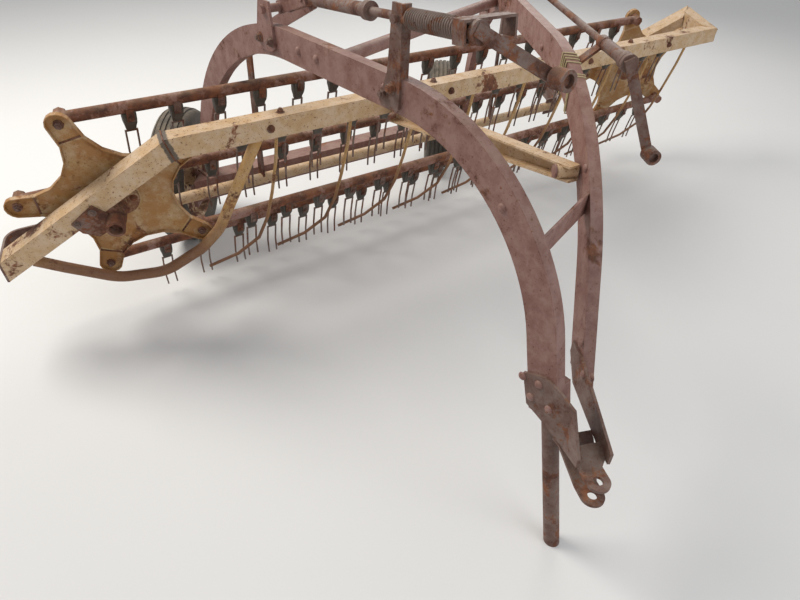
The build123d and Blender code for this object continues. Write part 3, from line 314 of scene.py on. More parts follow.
def bolt_pattern(across, washer=True, stud=True):
    """A hexagon head with a chamfered crown on a washer, with the stud's end showing."""
    head = cylinder_pattern(across / 2, across * 0.36, 6)
    inset_top(head, across * 0.055, across * 0.045)
    shift = across * 0.09 if washer else 0.0
    head.data.transform(Matrix.Translation((0, 0, shift)))
    pieces = [head]
    if washer:
        plate = cylinder_pattern(across * 0.66, across * 0.09, 18)
        inset_top(plate, across * 0.03, across * 0.012)
        pieces.append(plate)
    if stud:
        end = cylinder_pattern(across * 0.27, across * 0.30, 12)
        end.data.transform(Matrix.Translation((0, 0, across * 0.30 + shift)))
        inset_top(end, across * 0.05, across * 0.03)
        pieces.append(end)
    bolt = join_pieces(pieces, "bolt_pattern")
    smooth(bolt, 30)
    return bolt


# Shader groups and materials
def add_node(tree, kind, **settings):
    """Adds a node beside the one before it, ten to a row."""
    row, column = divmod(len(tree.nodes), 10)
    node = tree.nodes.new(kind)
    node.location = (column * 200, row * -400)
    for key, value in settings.items():
        setattr(node, key, value)
    return node


def feed(tree, socket, value):
    """Links a socket to another one, or sets it to a plain value."""
    if isinstance(value, bpy.types.NodeSocket):
        tree.links.new(value, socket)
    elif value is not None:
        socket.default_value = value


def math_node(tree, operation, first, second=None, clamp=False):
    node = add_node(tree, "ShaderNodeMath", operation=operation, use_clamp=clamp)
    feed(tree, node.inputs[0], first)
    feed(tree, node.inputs[1], second)
    return node.outputs[0]


def times(tree, first, second, clamp=False):
    return math_node(tree, "MULTIPLY", first, second, clamp)


def vector_node(tree, operation, first, second=None):
    node = add_node(tree, "ShaderNodeVectorMath", operation=operation)
    feed(tree, node.inputs[0], first)
    feed(tree, node.inputs[1], second)
    return node.outputs["Value" if operation in ("LENGTH", "DOT_PRODUCT") else "Vector"]


def object_place(tree):
    return add_node(tree, "ShaderNodeTexCoord").outputs["Object"]


def mix_colour(tree, factor, first, second):
    node = add_node(tree, "ShaderNodeMix", data_type="RGBA")
    for number, value in ((0, factor), (6, first), (7, second)):
        feed(tree, node.inputs[number], value)
    return node.outputs[2]


def noise(tree, vector, scale, detail=6.0, roughness=0.6, distortion=0.0):
    node = add_node(tree, "ShaderNodeTexNoise")
    node.inputs["Detail"].default_value = detail
    node.inputs["Roughness"].default_value = roughness
    node.inputs["Distortion"].default_value = distortion
    feed(tree, node.inputs["Scale"], scale)
    feed(tree, node.inputs["Vector"], vector)
    return node.outputs["Fac"]


def step_up(tree, value, low, high):
    """Turns a value into a soft step from 0 at low to 1 at high."""
    node = add_node(tree, "ShaderNodeMapRange", interpolation_type="SMOOTHSTEP")
    feed(tree, node.inputs["Value"], value)
    feed(tree, node.inputs["From Min"], low)
    feed(tree, node.inputs["From Max"], high)
    return node.outputs["Result"]


def new_group(name, inputs, outputs):
    group = bpy.data.node_groups.new(name, "ShaderNodeTree")
    for label, value in inputs:
        socket = group.interface.new_socket(name=label, in_out="INPUT", socket_type="NodeSocketFloat")
        socket.default_value = value
    for label in outputs:
        group.interface.new_socket(name=label, in_out="OUTPUT", socket_type="NodeSocketFloat")
    start = add_node(group, "NodeGroupInput")
    end = add_node(group, "NodeGroupOutput")
    return group, start.outputs, end.inputs


def worn_edge_group():
    """Where a rounded edge would catch rubs and knocks, broken up by noise."""
    group, given, made = new_group("Worn edges", (("Width", 0.004), ("Strength", 1.0)), ("Mask",))
    bevel = add_node(group, "ShaderNodeBevel", samples=4)
    group.links.new(given["Width"], bevel.inputs["Radius"])
    flat = add_node(group, "ShaderNodeNewGeometry")
    same = vector_node(group, "DOT_PRODUCT", bevel.outputs["Normal"], flat.outputs["Normal"])
    turned = math_node(group, "SUBTRACT", 1.0, same, clamp=True)
    sharp = step_up(group, turned, 0.015, 0.16)
    where = object_place(group)
    broken = step_up(group, noise(group, where, 55.0), 0.38, 0.62)
    mask = times(group, sharp, broken)
    group.links.new(times(group, mask, given["Strength"], clamp=True), made["Mask"])


def rust_group():
    """Patches and specks where the coat has gone, and the pitting under them."""
    inputs = (("Patch scale", 7.0), ("Patch amount", 0.5), ("Speck amount", 0.4))
    group, given, made = new_group("Rust patches", inputs, ("Patches", "Shade", "Grain", "Height"))
    where = object_place(group)
    wide = noise(group, where, given["Patch scale"], 8.0, 0.62, 0.4)
    fine_scale = times(group, given["Patch scale"], 9.0)
    fine = noise(group, where, fine_scale, 6.0, 0.65)
    wide_share = times(group, wide, 0.72)
    fine_share = times(group, fine, 0.28)
    both = math_node(group, "ADD", wide_share, fine_share)
    reach = times(group, given["Patch amount"], 0.60)
    low = math_node(group, "SUBTRACT", 0.80, reach)
    high = math_node(group, "ADD", low, 0.07)
    patches = step_up(group, both, low, high)
    specks = noise(group, where, 140.0, 3.0, 0.7)
    speck_reach = times(group, given["Speck amount"], 0.30)
    speck_low = math_node(group, "SUBTRACT", 0.78, speck_reach)
    speck_high = math_node(group, "ADD", speck_low, 0.06)
    dots = step_up(group, specks, speck_low, speck_high)
    bare = math_node(group, "MAXIMUM", patches, dots)
    group.links.new(bare, made["Patches"])
    shade = step_up(group, noise(group, where, 21.0, 7.0, 0.7), 0.33, 0.67)
    group.links.new(shade, made["Shade"])
    grain = noise(group, where, 420.0, 4.0, 0.7)
    group.links.new(grain, made["Grain"])
    sunk = times(group, bare, -0.5)
    pits = times(group, grain, 0.35)
    waves = times(group, fine, 0.3)
    rough = math_node(group, "ADD", pits, waves)
    group.links.new(math_node(group, "ADD", sunk, rough), made["Height"])


def dust_group():
    """Earth and hay dust on whatever faces upwards."""
    group, given, made = new_group("Settled dust", (("Amount", 0.3),), ("Mask",))
    flat = add_node(group, "ShaderNodeNewGeometry")
    parts = add_node(group, "ShaderNodeSeparateXYZ")
    group.links.new(flat.outputs["Normal"], parts.inputs[0])
    facing_up = step_up(group, parts.outputs["Z"], 0.15, 0.95)
    where = object_place(group)
    cloud = step_up(group, noise(group, where, 13.0, 8.0, 0.68), 0.34, 0.66)
    mask = times(group, facing_up, cloud)
    group.links.new(times(group, mask, given["Amount"], clamp=True), made["Mask"])


def place_group(tree, name, **values):
    """Places a shader group, with each of its inputs given by its label in lower case."""
    node = add_node(tree, "ShaderNodeGroup", node_tree=bpy.data.node_groups[name])
    for key, value in values.items():
        node.inputs[key.replace("_", " ").capitalize()].default_value = value
    return node.outputs


def new_material(name):
    material = bpy.data.materials.new(name + " finish")
    material.use_nodes = True
    return material.node_tree, material.node_tree.nodes["Principled BSDF"]


def add_bump(tree, shader, height, strength, distance):
    bump = add_node(tree, "ShaderNodeBump")
    bump.inputs["Strength"].default_value = strength
    bump.inputs["Distance"].default_value = distance
    tree.links.new(height, bump.inputs["Height"])
    tree.links.new(bump.outputs["Normal"], shader.inputs["Normal"])


def coated(name, shades, paint, faded, wear_values, edges, dusty, rough=(0.55, 0.85), bump=0.5):
    """Old paint over steel: bleached patches, rust through it, rubbed edges and dust."""
    scale, amount, specks = wear_values
    deep, rust = shades["deep_rust"], shades["rust"]
    tree, shader = new_material(name)
    wear = place_group(tree, "Rust patches", patch_scale=scale, patch_amount=amount, speck_amount=specks)
    edge = place_group(tree, "Worn edges", strength=edges)
    dirt = place_group(tree, "Settled dust", amount=dusty)
    coat = mix_colour(tree, wear["Shade"], shades[paint], shades[faded])
    grime = times(tree, wear["Grain"], 0.35)
    coat = mix_colour(tree, grime, coat, deep)
    metal = mix_colour(tree, wear["Shade"], deep, rust)
    bare = math_node(tree, "MAXIMUM", wear["Patches"], edge["Mask"])
    colour = mix_colour(tree, bare, coat, metal)
    colour = mix_colour(tree, dirt["Mask"], colour, shades["dust"])
    tree.links.new(colour, shader.inputs["Base Color"])
    spread = rough[1] - rough[0]
    roughness = math_node(tree, "MULTIPLY_ADD", bare, spread)
    roughness.node.inputs[2].default_value = rough[0]
    tree.links.new(roughness, shader.inputs["Roughness"])
    shader.inputs["Specular IOR Level"].default_value = 0.35
    add_bump(tree, shader, wear["Height"], bump, 0.0016)


def coat_of(name):
    """A finish's tree, the colour that its coat has so far and the socket that it feeds."""
    tree = finish_of(name).node_tree
    socket = tree.nodes["Principled BSDF"].inputs["Base Color"]
    return tree, socket.links[0].from_socket, socket


def ring_stains(name, centre, axis, stains):
    """Lays colours over a coat between pairs of distances from an axis."""
    tree, colour, socket = coat_of(name)
    soft = 0.001
    where = object_place(tree)
    away = vector_node(tree, "SUBTRACT", where, centre)
    across = vector_node(tree, "CROSS_PRODUCT", away, axis)
    distance = vector_node(tree, "LENGTH", across)
    blotches = step_up(tree, noise(tree, where, 16.0, 8.0, 0.68), 0.36, 0.58)
    for low, high, stain, strength in stains:
        above = step_up(tree, distance, low - soft, low + soft)
        below = step_up(tree, distance, high + soft, high - soft)
        ring = times(tree, above, below)
        cover = times(tree, blotches, strength)
        mask = times(tree, ring, cover)
        colour = mix_colour(tree, mask, colour, stain)
    tree.links.new(colour, socket)


def low_stain(name, high, low, stain):
    """Browns a coat from one height down to another, where the weather wets it most."""
    tree, colour, socket = coat_of(name)
    uneven = 0.30
    where = object_place(tree)
    split = add_node(tree, "ShaderNodeSeparateXYZ")
    tree.links.new(where, split.inputs[0])
    cloud = noise(tree, where, 14.0, 7.0, 0.68)
    blotches = times(tree, cloud, uneven)
    height = math_node(tree, "ADD", split.outputs["Z"], blotches)
    browned = step_up(tree, height, high + uneven / 2, low + uneven / 2)
    mask = times(tree, browned, 0.85)
    tree.links.new(mix_colour(tree, mask, colour, stain), socket)


def band_stain(name, middle, way, half, stain):
    """Darkens a coat in a band that a weld burnt, across one way through a place."""
    tree, colour, socket = coat_of(name)
    where = object_place(tree)
    away = vector_node(tree, "SUBTRACT", where, middle)
    along = vector_node(tree, "DOT_PRODUCT", away, way)
    distance = vector_node(tree, "LENGTH", away)
    cloud = noise(tree, where, 60.0, 5.0, 0.7)
    ragged = times(tree, cloud, half)
    from_middle = math_node(tree, "ABSOLUTE", along)
    gap = math_node(tree, "ADD", from_middle, ragged)
    band = step_up(tree, gap, 1.6 * half, 1.3 * half)
    near = step_up(tree, distance, 0.100, 0.090)
    both = times(tree, band, near)
    mask = times(tree, both, 0.85)
    tree.links.new(mix_colour(tree, mask, colour, stain), socket)


def rubbery(name, base, dust, scale, dusty, rough, bump):
    """Weathered rubber: fine cracks, greyed patches and dust."""
    tree, shader = new_material(name)
    where = object_place(tree)
    cracks = add_node(tree, "ShaderNodeTexVoronoi", feature="DISTANCE_TO_EDGE")
    cracks.inputs["Scale"].default_value = scale
    tree.links.new(where, cracks.inputs["Vector"])
    lines = step_up(tree, cracks.outputs["Distance"], 0.0, 0.08)
    cloud = noise(tree, where, 9.0, 8.0, 0.65)
    dirt = place_group(tree, "Settled dust", amount=dusty)
    grey = tuple(min(1.0, channel * 2.6 + 0.012) for channel in base[:3]) + (1.0,)
    colour = mix_colour(tree, step_up(tree, cloud, 0.35, 0.75), base, grey)
    film = times(tree, cloud, 0.30)
    colour = mix_colour(tree, film, colour, dust)
    colour = mix_colour(tree, dirt["Mask"], colour, dust)
    tree.links.new(colour, shader.inputs["Base Color"])
    shader.inputs["Roughness"].default_value = rough
    height = math_node(tree, "ADD", lines, cloud)
    add_bump(tree, shader, height, bump, 0.0010)


def fibrous(name, base, dark):
    """Dry twine: pale strands over dark gaps."""
    tree, shader = new_material(name)
    where = object_place(tree)
    strands = noise(tree, where, 900.0, 3.0, 0.6)
    colour = mix_colour(tree, step_up(tree, strands, 0.35, 0.65), dark, base)
    tree.links.new(colour, shader.inputs["Base Color"])
    shader.inputs["Roughness"].default_value = 0.9
    add_bump(tree, shader, strands, 0.6, 0.0008)


# Finish, paint, bleached paint, patches (scale, amount, specks), rubbed edges, dust, roughness, bump
coats = (
    ("frame_paint", "frame_paint", "frame_faded", (6.0, 0.40, 0.55), 0.8, 0.25),
    ("basket_paint", "basket_paint", "basket_faded", (8.0, 0.42, 0.58), 1.0, 0.10),
    ("guard_paint", "basket_paint", "ochre_paint", (8.0, 0.38, 0.6), 1.0, 0.10),
    ("reel_paint", "reel_paint", "basket_paint", (5.0, 0.62, 0.5), 1.0, 0.15),
    ("near_spider", "reel_paint", "spider_faded", (5.0, 0.48, 0.55), 1.0, 0.10),
    ("far_spider", "reel_paint", "spider_faded", (5.0, 0.48, 0.55), 1.0, 0.10),
    ("bar_paint", "rust", "frame_faded", (9.0, 0.60, 0.6), 0.5, 0.35),
    ("rim_paint", "basket_paint", "basket_faded", (7.0, 0.55, 0.6), 1.0, 0.35),
    ("bare_steel", "plate_steel", "steel", (10.0, 0.44, 0.6), 0.6, 0.15),
    ("bearing_iron", "rust", "steel", (12.0, 0.60, 0.5), 0.4, 0.30, (0.6, 0.9), 0.8),
    ("rod_steel", "plate_steel", "steel", (14.0, 0.52, 0.6), 0.4, 0.20),
    ("spring_steel", "steel", "tooth", (20.0, 0.50, 0.5), 0.3, 0.15),
    ("tine_steel", "tooth", "steel", (18.0, 0.50, 0.4), 0.2, 0.10, (0.45, 0.8), 0.3),
)

# Inner and outer distance from the reel's axis in metres, shade, strength
spider_stains = (
    (0.0, 0.0745, "hub_rust", 0.95),
    (0.272, 0.5, "ochre_rust", 0.9),
    (0.08, 0.26, "ochre_rust", 0.8),
)

# Nodes with a finish of their own in place of their slot's
own_finishes = {
    "near_spider": "near_spider",
    "far_spider": "far_spider",
    "near_guard": "guard_paint",
    "stripper_rods": "guard_paint",
}


class RAKE_OT_finishes(bpy.types.Operator):
    """Makes every finish and puts it on the pieces of the rake"""

    bl_idname = "rake.finishes"
    bl_label = "Finishes"

    def execute(self, context):
        colours = context.scene.rake_colours
        shades = {key: tuple(getattr(colours, key)) for key in RakeColours.__annotations__}
        worn_edge_group()
        rust_group()
        dust_group()
        for name, *values in coats:
            coated(name, shades, *values)
        rubber, dust = shades["rubber"], shades["dust"]
        rubbery("mount_rubber", rubber, dust, scale=120.0, dusty=0.25, rough=0.75, bump=0.25)
        rubbery("tyre_rubber", rubber, dust, scale=70.0, dusty=0.45, rough=0.82, bump=0.30)
        fibrous("twine", shades["twine"], dust)
        stains = [(low, high, shades[key], strength) for low, high, key, strength in spider_stains]
        ring_stains("near_spider", reel_centre, reel_axis, stains)
        ring_stains("far_spider", far_centre, reel_axis, stains)
        low_stain("guard_paint", high=0.62, low=0.30, stain=shades["low_rust"])
        band_stain("basket_paint", rail_start, rail_mitre, half=0.016, stain=shades["burnt"])
        for entry in frame["record"]["subparts"]:
            node = entry["node"]
            for slot in frame["nodes"][node].material_slots:
                slot.material = finish_of(own_finishes.get(node, entry["material_slot"]))
        return {"FINISHED"}


# The photograph's camera, in the machine's own place
camera_place = pin_place + Vector((-0.518, -0.916, 1.700))
camera_right = Vector((0.9985, 0.0336, 0.0429))
camera_up = Vector((-0.0545, 0.6159, 0.7860))
camera_focus_px = 600.0
photo_width_px = 800.0

# Lamp, place, width in metres, power in watts, colour
lamps = (
    ("key", (-3.6, 0.6, 4.6), 3.0, 245.0, (1.0, 0.965, 0.91)),
    ("fill", (3.2, -3.4, 3.4), 4.0, 75.0, (0.93, 0.96, 1.0)),
    ("back", (1.0, 4.6, 3.6), 3.5, 90.0, (1.0, 0.98, 0.95)),
)
lamp_target = Vector((-0.1, -0.2, 0.6))


class RAKE_OT_stage(bpy.types.Operator):
    """Sets the pale floor, the soft studio lamps and the camera"""

    bl_idname = "rake.stage"
    bl_label = "Stage, lamps and camera"

    def execute(self, context):
        colours = context.scene.rake_colours
        back = camera_right.cross(camera_up).normalized()
        across = camera_up.cross(back).normalized()
        data = bpy.data.cameras.new("photo_camera")
        data.sensor_width = 36
        data.lens = data.sensor_width * camera_focus_px / photo_width_px
        data.clip_end = 200
        camera = bpy.data.objects.new("photo_camera", data)
        context.collection.objects.link(camera)
        turned = Matrix((across, back.cross(across), back)).transposed().to_4x4()
        camera.matrix_world = Matrix.Translation(camera_place) @ turned
        context.scene.camera = camera

        floor_size, floor_height = 60, -0.0008
        nothing_selected()
        bpy.ops.mesh.primitive_plane_add(size=floor_size, location=(0, 0, floor_height))
        floor = context.object
        floor.name = "floor"
        settle(floor)
        tree, shader = new_material("pale_floor")
        where = object_place(tree)
        cloud = noise(tree, where, 1.3, 5.0, 0.5)
        pale = tuple(colours.floor)
        darker = tuple(channel * 0.96 for channel in pale[:3]) + (1.0,)
        tree.links.new(mix_colour(tree, cloud, pale, darker), shader.inputs["Base Color"])
        shader.inputs["Roughness"].default_value = 0.9
        floor.data.materials.append(finish_of("pale_floor"))

        world = bpy.data.worlds.new("studio")
        world.use_nodes = True
        sky = world.node_tree.nodes["Background"]
        sky.inputs["Color"].default_value = (0.86, 0.88, 0.92, 1)
        sky.inputs["Strength"].default_value = 0.55
        context.scene.world = world
        for name, place, size, power, colour in lamps:
            lamp = bpy.data.lights.new(name, "AREA")
            lamp.shape = "DISK"
            lamp.size = size
            lamp.energy = power
            lamp.color = colour
            holder = bpy.data.objects.new(name, lamp)
            context.collection.objects.link(holder)
            holder.matrix_world = facing(Vector(place), Vector(place) - lamp_target)
        context.scene.view_settings.view_transform = "Standard"
        return {"FINISHED"}


def on_right_faces(rows, turn=0.0):
    """Places on the arches' right faces, from each arch, its face and the distances along and up it."""
    places = []
    for arch, side, spots in rows:
        places += [facing(arch.at(*spot, side), arch.side * -1, turn) for spot in spots]
    return places


class RAKE_OT_rivets(bpy.types.Operator):
    """Sets round rivet heads on the right faces of the arches and of the hitch plates"""

    bl_idname = "rake.rivets"
    bl_label = "Rivets"

    def execute(self, context):
        rivet = rivet_pattern(context.scene.rake_sizes.rivet_radius)
        rows = (
            (right_arch, web_face, ((1.174, 1.155), (1.078, 1.155), (0.314, 1.003), (0.762, 1.160))),
            (right_arch, plate_face, ((0.097, 0.585), (0.112, 0.527), (0.052, 0.529), (0.150, 0.575))),
            (left_arch, web_face, ((0.515, 0.982), (1.105, 1.140), (1.700, 1.150))),
            (left_arch, plate_face, ((0.120, 0.560), (0.170, 0.520), (0.235, 0.580))),
        )
        finished(set_out(rivet, "arch_rivets", on_right_faces(rows)), "frame", "frame_paint")
        put_away(rivet)
        return {"FINISHED"}


class RAKE_OT_frame_bolts(bpy.types.Operator):
    """Bolts the crank brackets and rod brackets to the arches"""

    bl_idname = "rake.frame_bolts"
    bl_label = "Frame bolts"

    def execute(self, context):
        bolt = bolt_pattern(context.scene.rake_sizes.bolt_across)
        rows = (
            (right_arch, plate_face, ((1.385, 1.150), (1.315, 1.150), (0.752, 1.150), (0.722, 1.172))),
            (left_arch, plate_face, ((2.085, 1.050), (2.020, 1.062))),
        )
        places = on_right_faces(rows, 0.3)
        for along, height in ((0.885, 1.125), (0.915, 1.155)):
            places.append(facing(left_arch.at(along, height, -plate_face), left_arch.side, 0.2))
        finished(set_out(bolt, "frame_bolts", places), "frame", "rod_steel")
        put_away(bolt)
        return {"FINISHED"}


class RAKE_OT_basket_bolts(bpy.types.Operator):
    """Sets bolts on the front and on the top of the front rail"""

    bl_idname = "rake.basket_bolts"
    bl_label = "Basket bolts"

    def execute(self, context):
        bolt = bolt_pattern(context.scene.rake_sizes.bolt_across * 0.9)
        places = []
        for steps, way, turn in (
            ((0.36, 1.06, 1.20, 2.10, 2.75), rail_back * -1, 0.4),
            ((0.42, 1.13, 1.80, 2.45), up, 0.1),
        ):
            for along in steps:
                places.append(facing(rail_start + rail_way * along + way * rail_half, way, turn))
        finished(set_out(bolt, "rail_bolts", places), "basket", "bearing_iron")
        put_away(bolt)
        return {"FINISHED"}


class RAKE_OT_spring(bpy.types.Operator):
    """Winds the coil spring on the right lift rod"""

    bl_idname = "rake.spring"
    bl_label = "Lift spring"

    def execute(self, context):
        wire = context.scene.rake_sizes.spring_wire
        rear_along, seat_along, nose_along = 1.226, 0.712, 0.440
        rear_gap, nose_gap = 0.030, 0.046
        outside_radius, turns = 0.0255, 22
        rear = right_arch.at(rear_along, 1.285, 0.058)
        nose = right_arch.at(nose_along, 1.372, -0.038)
        way = (nose - rear).normalized()
        share = (seat_along - rear_along) / (nose_along - rear_along)
        start = rear + (nose - rear) * share + way * rear_gap
        length = (nose - way * nose_gap - start).length
        nothing_selected()
        bpy.ops.mesh.primitive_circle_add(
            vertices=8,
            radius=wire / 2,
            location=(outside_radius - wire / 2, 0, wire / 2),
            rotation=(math.pi / 2, 0, 0),
        )
        spring = context.object
        settle(spring)
        screw = spring.modifiers.new("wind", "SCREW")
        screw.angle = 2 * math.pi * turns
        screw.screw_offset = length - wire
        screw.steps = 16 * turns
        screw.render_steps = 16 * turns
        screw.use_smooth_shade = True
        apply_modifiers(spring)
        begin_edit(spring)
        bpy.ops.mesh.select_mode(type="EDGE")
        bpy.ops.mesh.select_non_manifold()
        bpy.ops.mesh.edge_face_add()
        close_up()
        spring.data.transform(facing(start, way))
        spring.name = "wound_spring"
        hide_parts("lift_spring")
        finished(spring, "frame", "spring_steel")
        return {"FINISHED"}


# The row of teeth on a bar, in metres from the bar's near pin, and the way that the teeth hang
tooth_first, tooth_pitch, tooth_count = 0.215, 0.165, 17
hang_turn = math.radians(-4.07)
hang = reel_up * -math.cos(hang_turn) + reel_across * math.sin(hang_turn)


def tooth_places(bar, z_way):
    """The places of a bar's teeth, for a pattern whose +Z goes along z_way."""
    pivot = joint_place(f"bar_{bar}_turn") - reel_axis * bar_offset
    places = []
    for tooth in range(tooth_count):
        places.append(basis(pivot + rail_way * (tooth_first + tooth * tooth_pitch), rail_way, z_way))
    return places


def clamp_pattern(steel, bolt_across):
    """A strap bent over a bar that runs along X, its legs down along -Z, with a bolt across them."""
    radius, leg, width = 0.0212, 0.046, 0.026
    foot = (0, radius + steel / 2, -leg)
    nothing_selected()
    bpy.ops.mesh.primitive_plane_add(size=1, location=foot)
    strap = bpy.context.object
    begin_resized(strap, (width, steel, 1), foot)
    pull_out(0, 0, leg)
    bpy.ops.mesh.spin(steps=8, angle=math.pi, center=(0, 0, 0), axis=(1, 0, 0), dupli=False)
    pull_out(0, 0, -leg)
    close_up(0.00005)
    settle(strap)
    bolt = bolt_pattern(bolt_across, washer=False, stud=False)
    heads = []
    for way, turn in ((1, 0.2), (-1, 0.5)):
        heads.append(facing(Vector((0, way * (radius + steel), -leg * 0.72)), (0, way, 0), turn))
    clamp = join_pieces([strap, set_out(bolt, "clamp_bolt", heads)], "clamp_pattern")
    put_away(bolt)
    smooth(clamp, 40)
    return clamp


class RAKE_OT_tooth_clamps(bpy.types.Operator):
    """Clamps every rubber tooth mount to its bar"""

    bl_idname = "rake.tooth_clamps"
    bl_label = "Tooth clamps"

    def execute(self, context):
        sizes = context.scene.rake_sizes
        clamp = clamp_pattern(sizes.clamp_steel, sizes.small_bolt)
        for bar in bars:
            piece = set_out(clamp, f"tooth_clamps_{bar}", tooth_places(bar, hang * -1))
            finished(piece, f"bar_{bar}", "rod_steel")
        put_away(clamp)
        return {"FINISHED"}


# Half of a tyre's section, as side and radius in metres, from the crown to the bead
tyre_half = (
    (0.0035, 0.3135), (0.0050, 0.3196), (0.0190, 0.3190), (0.0205, 0.3128),
    (0.0270, 0.3122), (0.0285, 0.3176), (0.0430, 0.3156), (0.0445, 0.3090),
    (0.0510, 0.3078), (0.0530, 0.3108), (0.0620, 0.3052), (0.0690, 0.2940),
    (0.0735, 0.2780), (0.0748, 0.2600), (0.0728, 0.2430), (0.0722, 0.2400),
    (0.0700, 0.2385), (0.0660, 0.2260), (0.0610, 0.2175), (0.0560, 0.2140),
    (0.0510, 0.2110), (0.0490, 0.2050), (0.0480, 0.1962), (0.0330, 0.1962),
    (0.0340, 0.2140), (0.0520, 0.2420), (0.0600, 0.2680), (0.0480, 0.2900),
)
tyre_steps = 96


class RAKE_OT_tyres(bpy.types.Operator):
    """Spins the ribbed tyres with their shoulders, sidewalls and beads"""

    bl_idname = "rake.tyres"
    bl_label = "Tyres"

    def execute(self, context):
        section = tyre_half + tuple((-side, radius) for side, radius in reversed(tyre_half))
        for name in ("right", "left"):
            centre = joint_place(f"{name}_wheel_spin")
            nothing_selected()
            bpy.ops.mesh.primitive_circle_add(vertices=len(section), radius=0.1, location=(0, 0, 0))
            tyre = context.object
            for vertex, (side, radius) in zip(tyre.data.vertices, section):
                vertex.co = centre + Vector((side, 0, radius))
            begin_edit(tyre)
            bpy.ops.mesh.select_mode(type="VERT")
            bpy.ops.mesh.select_all(action="SELECT")
            bpy.ops.mesh.spin(steps=tyre_steps, angle=2 * math.pi, center=centre, axis=(1, 0, 0), dupli=False)
            close_up(0.00002)
            tyre.name = f"{name}_ribbed_tyre"
            tyre.data.name = tyre.name
            smooth(tyre, 38)
            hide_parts(f"{name}_tyre")
            finished(tyre, f"{name}_wheel", "tyre_rubber")
        return {"FINISHED"}


def mount_pattern():
    """A rubber block that hangs along +Z from a bar along X, tapered towards the tine."""
    root_size, root_middle = (0.046, 0.036, 0.026), (0, 0, 0.029)
    taper = ((0.016, (0.95, 0.90, 1)), (0.016, (0.85, 0.62, 1)), (0.0134, (0.9, 0.72, 1)))
    nothing_selected()
    bpy.ops.mesh.primitive_cube_add(size=1, location=(0, 0, 0))
    block = bpy.context.object
    begin_resized(block, root_size)
    bpy.ops.transform.translate(value=root_middle)
    for rise, shrink in taper:
        pick_faces(block, lambda face: face.normal.z > 0.9)
        pull_out(0, 0, rise)
        bpy.ops.transform.resize(value=shrink)
    end_edit()
    rounded = block.modifiers.new("rounded", "BEVEL")
    rounded.width = 0.0035
    rounded.segments = 2
    rounded.limit_method = "ANGLE"
    apply_modifiers(block)
    smooth(block, 50)
    return block


class RAKE_OT_rubber_mounts(bpy.types.Operator):
    """Moulds the tapered rubber block that carries each double tine"""

    bl_idname = "rake.rubber_mounts"
    bl_label = "Rubber mounts"

    def execute(self, context):
        block = mount_pattern()
        for bar in bars:
            piece = set_out(block, f"moulded_mounts_{bar}", tooth_places(bar, hang))
            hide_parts(f"rubber_mounts_{bar}")
            finished(piece, f"bar_{bar}", "mount_rubber")
        put_away(block)
        return {"FINISHED"}


def bead_spots(points, spacing):
    """Places at even steps round a closed row of corners."""
    spots = []
    for start, end in zip(points, points[1:] + points[:1]):
        count = max(1, round((end - start).length / spacing))
        spots += [start.lerp(end, step / count) for step in range(count)]
    return spots


class RAKE_OT_welds(bpy.types.Operator):
    """Lays the weld bead round the front rail's corner"""

    bl_idname = "rake.welds"
    bl_label = "Weld bead"

    def execute(self, context):
        bead_radius, bead_step = 0.0052, 0.0055
        nothing_selected()
        bpy.ops.mesh.primitive_uv_sphere_add(
            segments=8, ring_count=6, radius=bead_radius, location=(0, 0, 0)
        )
        drop = context.object
        begin_resized(drop, (1, 1, 0.6))
        end_edit()
        smooth(drop, 60)
        corners = []
        for back, rise in ((-1, -1), (1, -1), (1, 1), (-1, 1)):
            offset = (rail_back * back + up * rise) * rail_half
            slide = offset.dot(rail_mitre) / rail_way.dot(rail_mitre)
            corners.append(rail_start + offset - rail_way * slide)
        places = []
        for number, spot in enumerate(bead_spots(corners, bead_step)):
            places.append(facing(spot, rail_mitre, 0.7 * number))
        finished(set_out(drop, "rail_weld", places), "basket", "bearing_iron")
        put_away(drop)
        return {"FINISHED"}


class RAKE_OT_twine(bpy.types.Operator):
    """Winds the farm twine tightly round the left arch"""

    bl_idname = "rake.twine"
    bl_label = "Twine"

    def execute(self, context):
        radius = context.scene.rake_sizes.twine_radius
        middle_along, middle_height, bend = 1.040, 0.446, 0.754
        depth, tips = 0.092, 0.018
        slant, spot_step = 0.5, 0.012
        # Degrees round the arch's bend at its outer and at its inner edge, for each turn of twine
        turns = ((12.0, 14.0), (13.2, 14.8), (14.4, 15.8), (15.8, 17.0), (20.2, 24.2), (21.0, 25.0))
        wound = []
        for outer, inner in turns:
            corners = []
            for turn, reach, side in (
                (outer, bend, web_face),
                (outer + slant, bend, tips),
                (inner + slant, bend - depth, tips),
                (inner, bend - depth, web_face),
            ):
                lean = math.radians(turn)
                away = radius if reach == bend else -radius
                along = middle_along - (reach + away) * math.sin(lean)
                height = middle_height + (reach + away) * math.cos(lean)
                out = radius if side > 0 else -radius
                corners.append(left_arch.at(along, height, side + out))
            curve = bpy.data.curves.new("twine_turn", "CURVE")
            curve.dimensions = "3D"
            curve.bevel_depth = radius
            curve.bevel_resolution = 1
            spline = curve.splines.new("POLY")
            spots = bead_spots(corners, spot_step)
            spline.points.add(len(spots) - 1)
            for point, spot in zip(spline.points, spots):
                point.co = (*spot, 1)
            spline.use_cyclic_u = True
            turn_object = bpy.data.objects.new("twine_turn", curve)
            context.collection.objects.link(turn_object)
            pick_only(turn_object)
            bpy.ops.object.convert(target="MESH")
            wound.append(context.object)
        twine = join_pieces(wound, "wound_twine")
        smooth(twine, 60)
        finished(twine, "frame", "rod_steel", "twine")
        return {"FINISHED"}


# The reel's two ends, and the way along its axis that each one faces
reel_ends = (("near", reel_centre, 1), ("far", far_centre, -1))


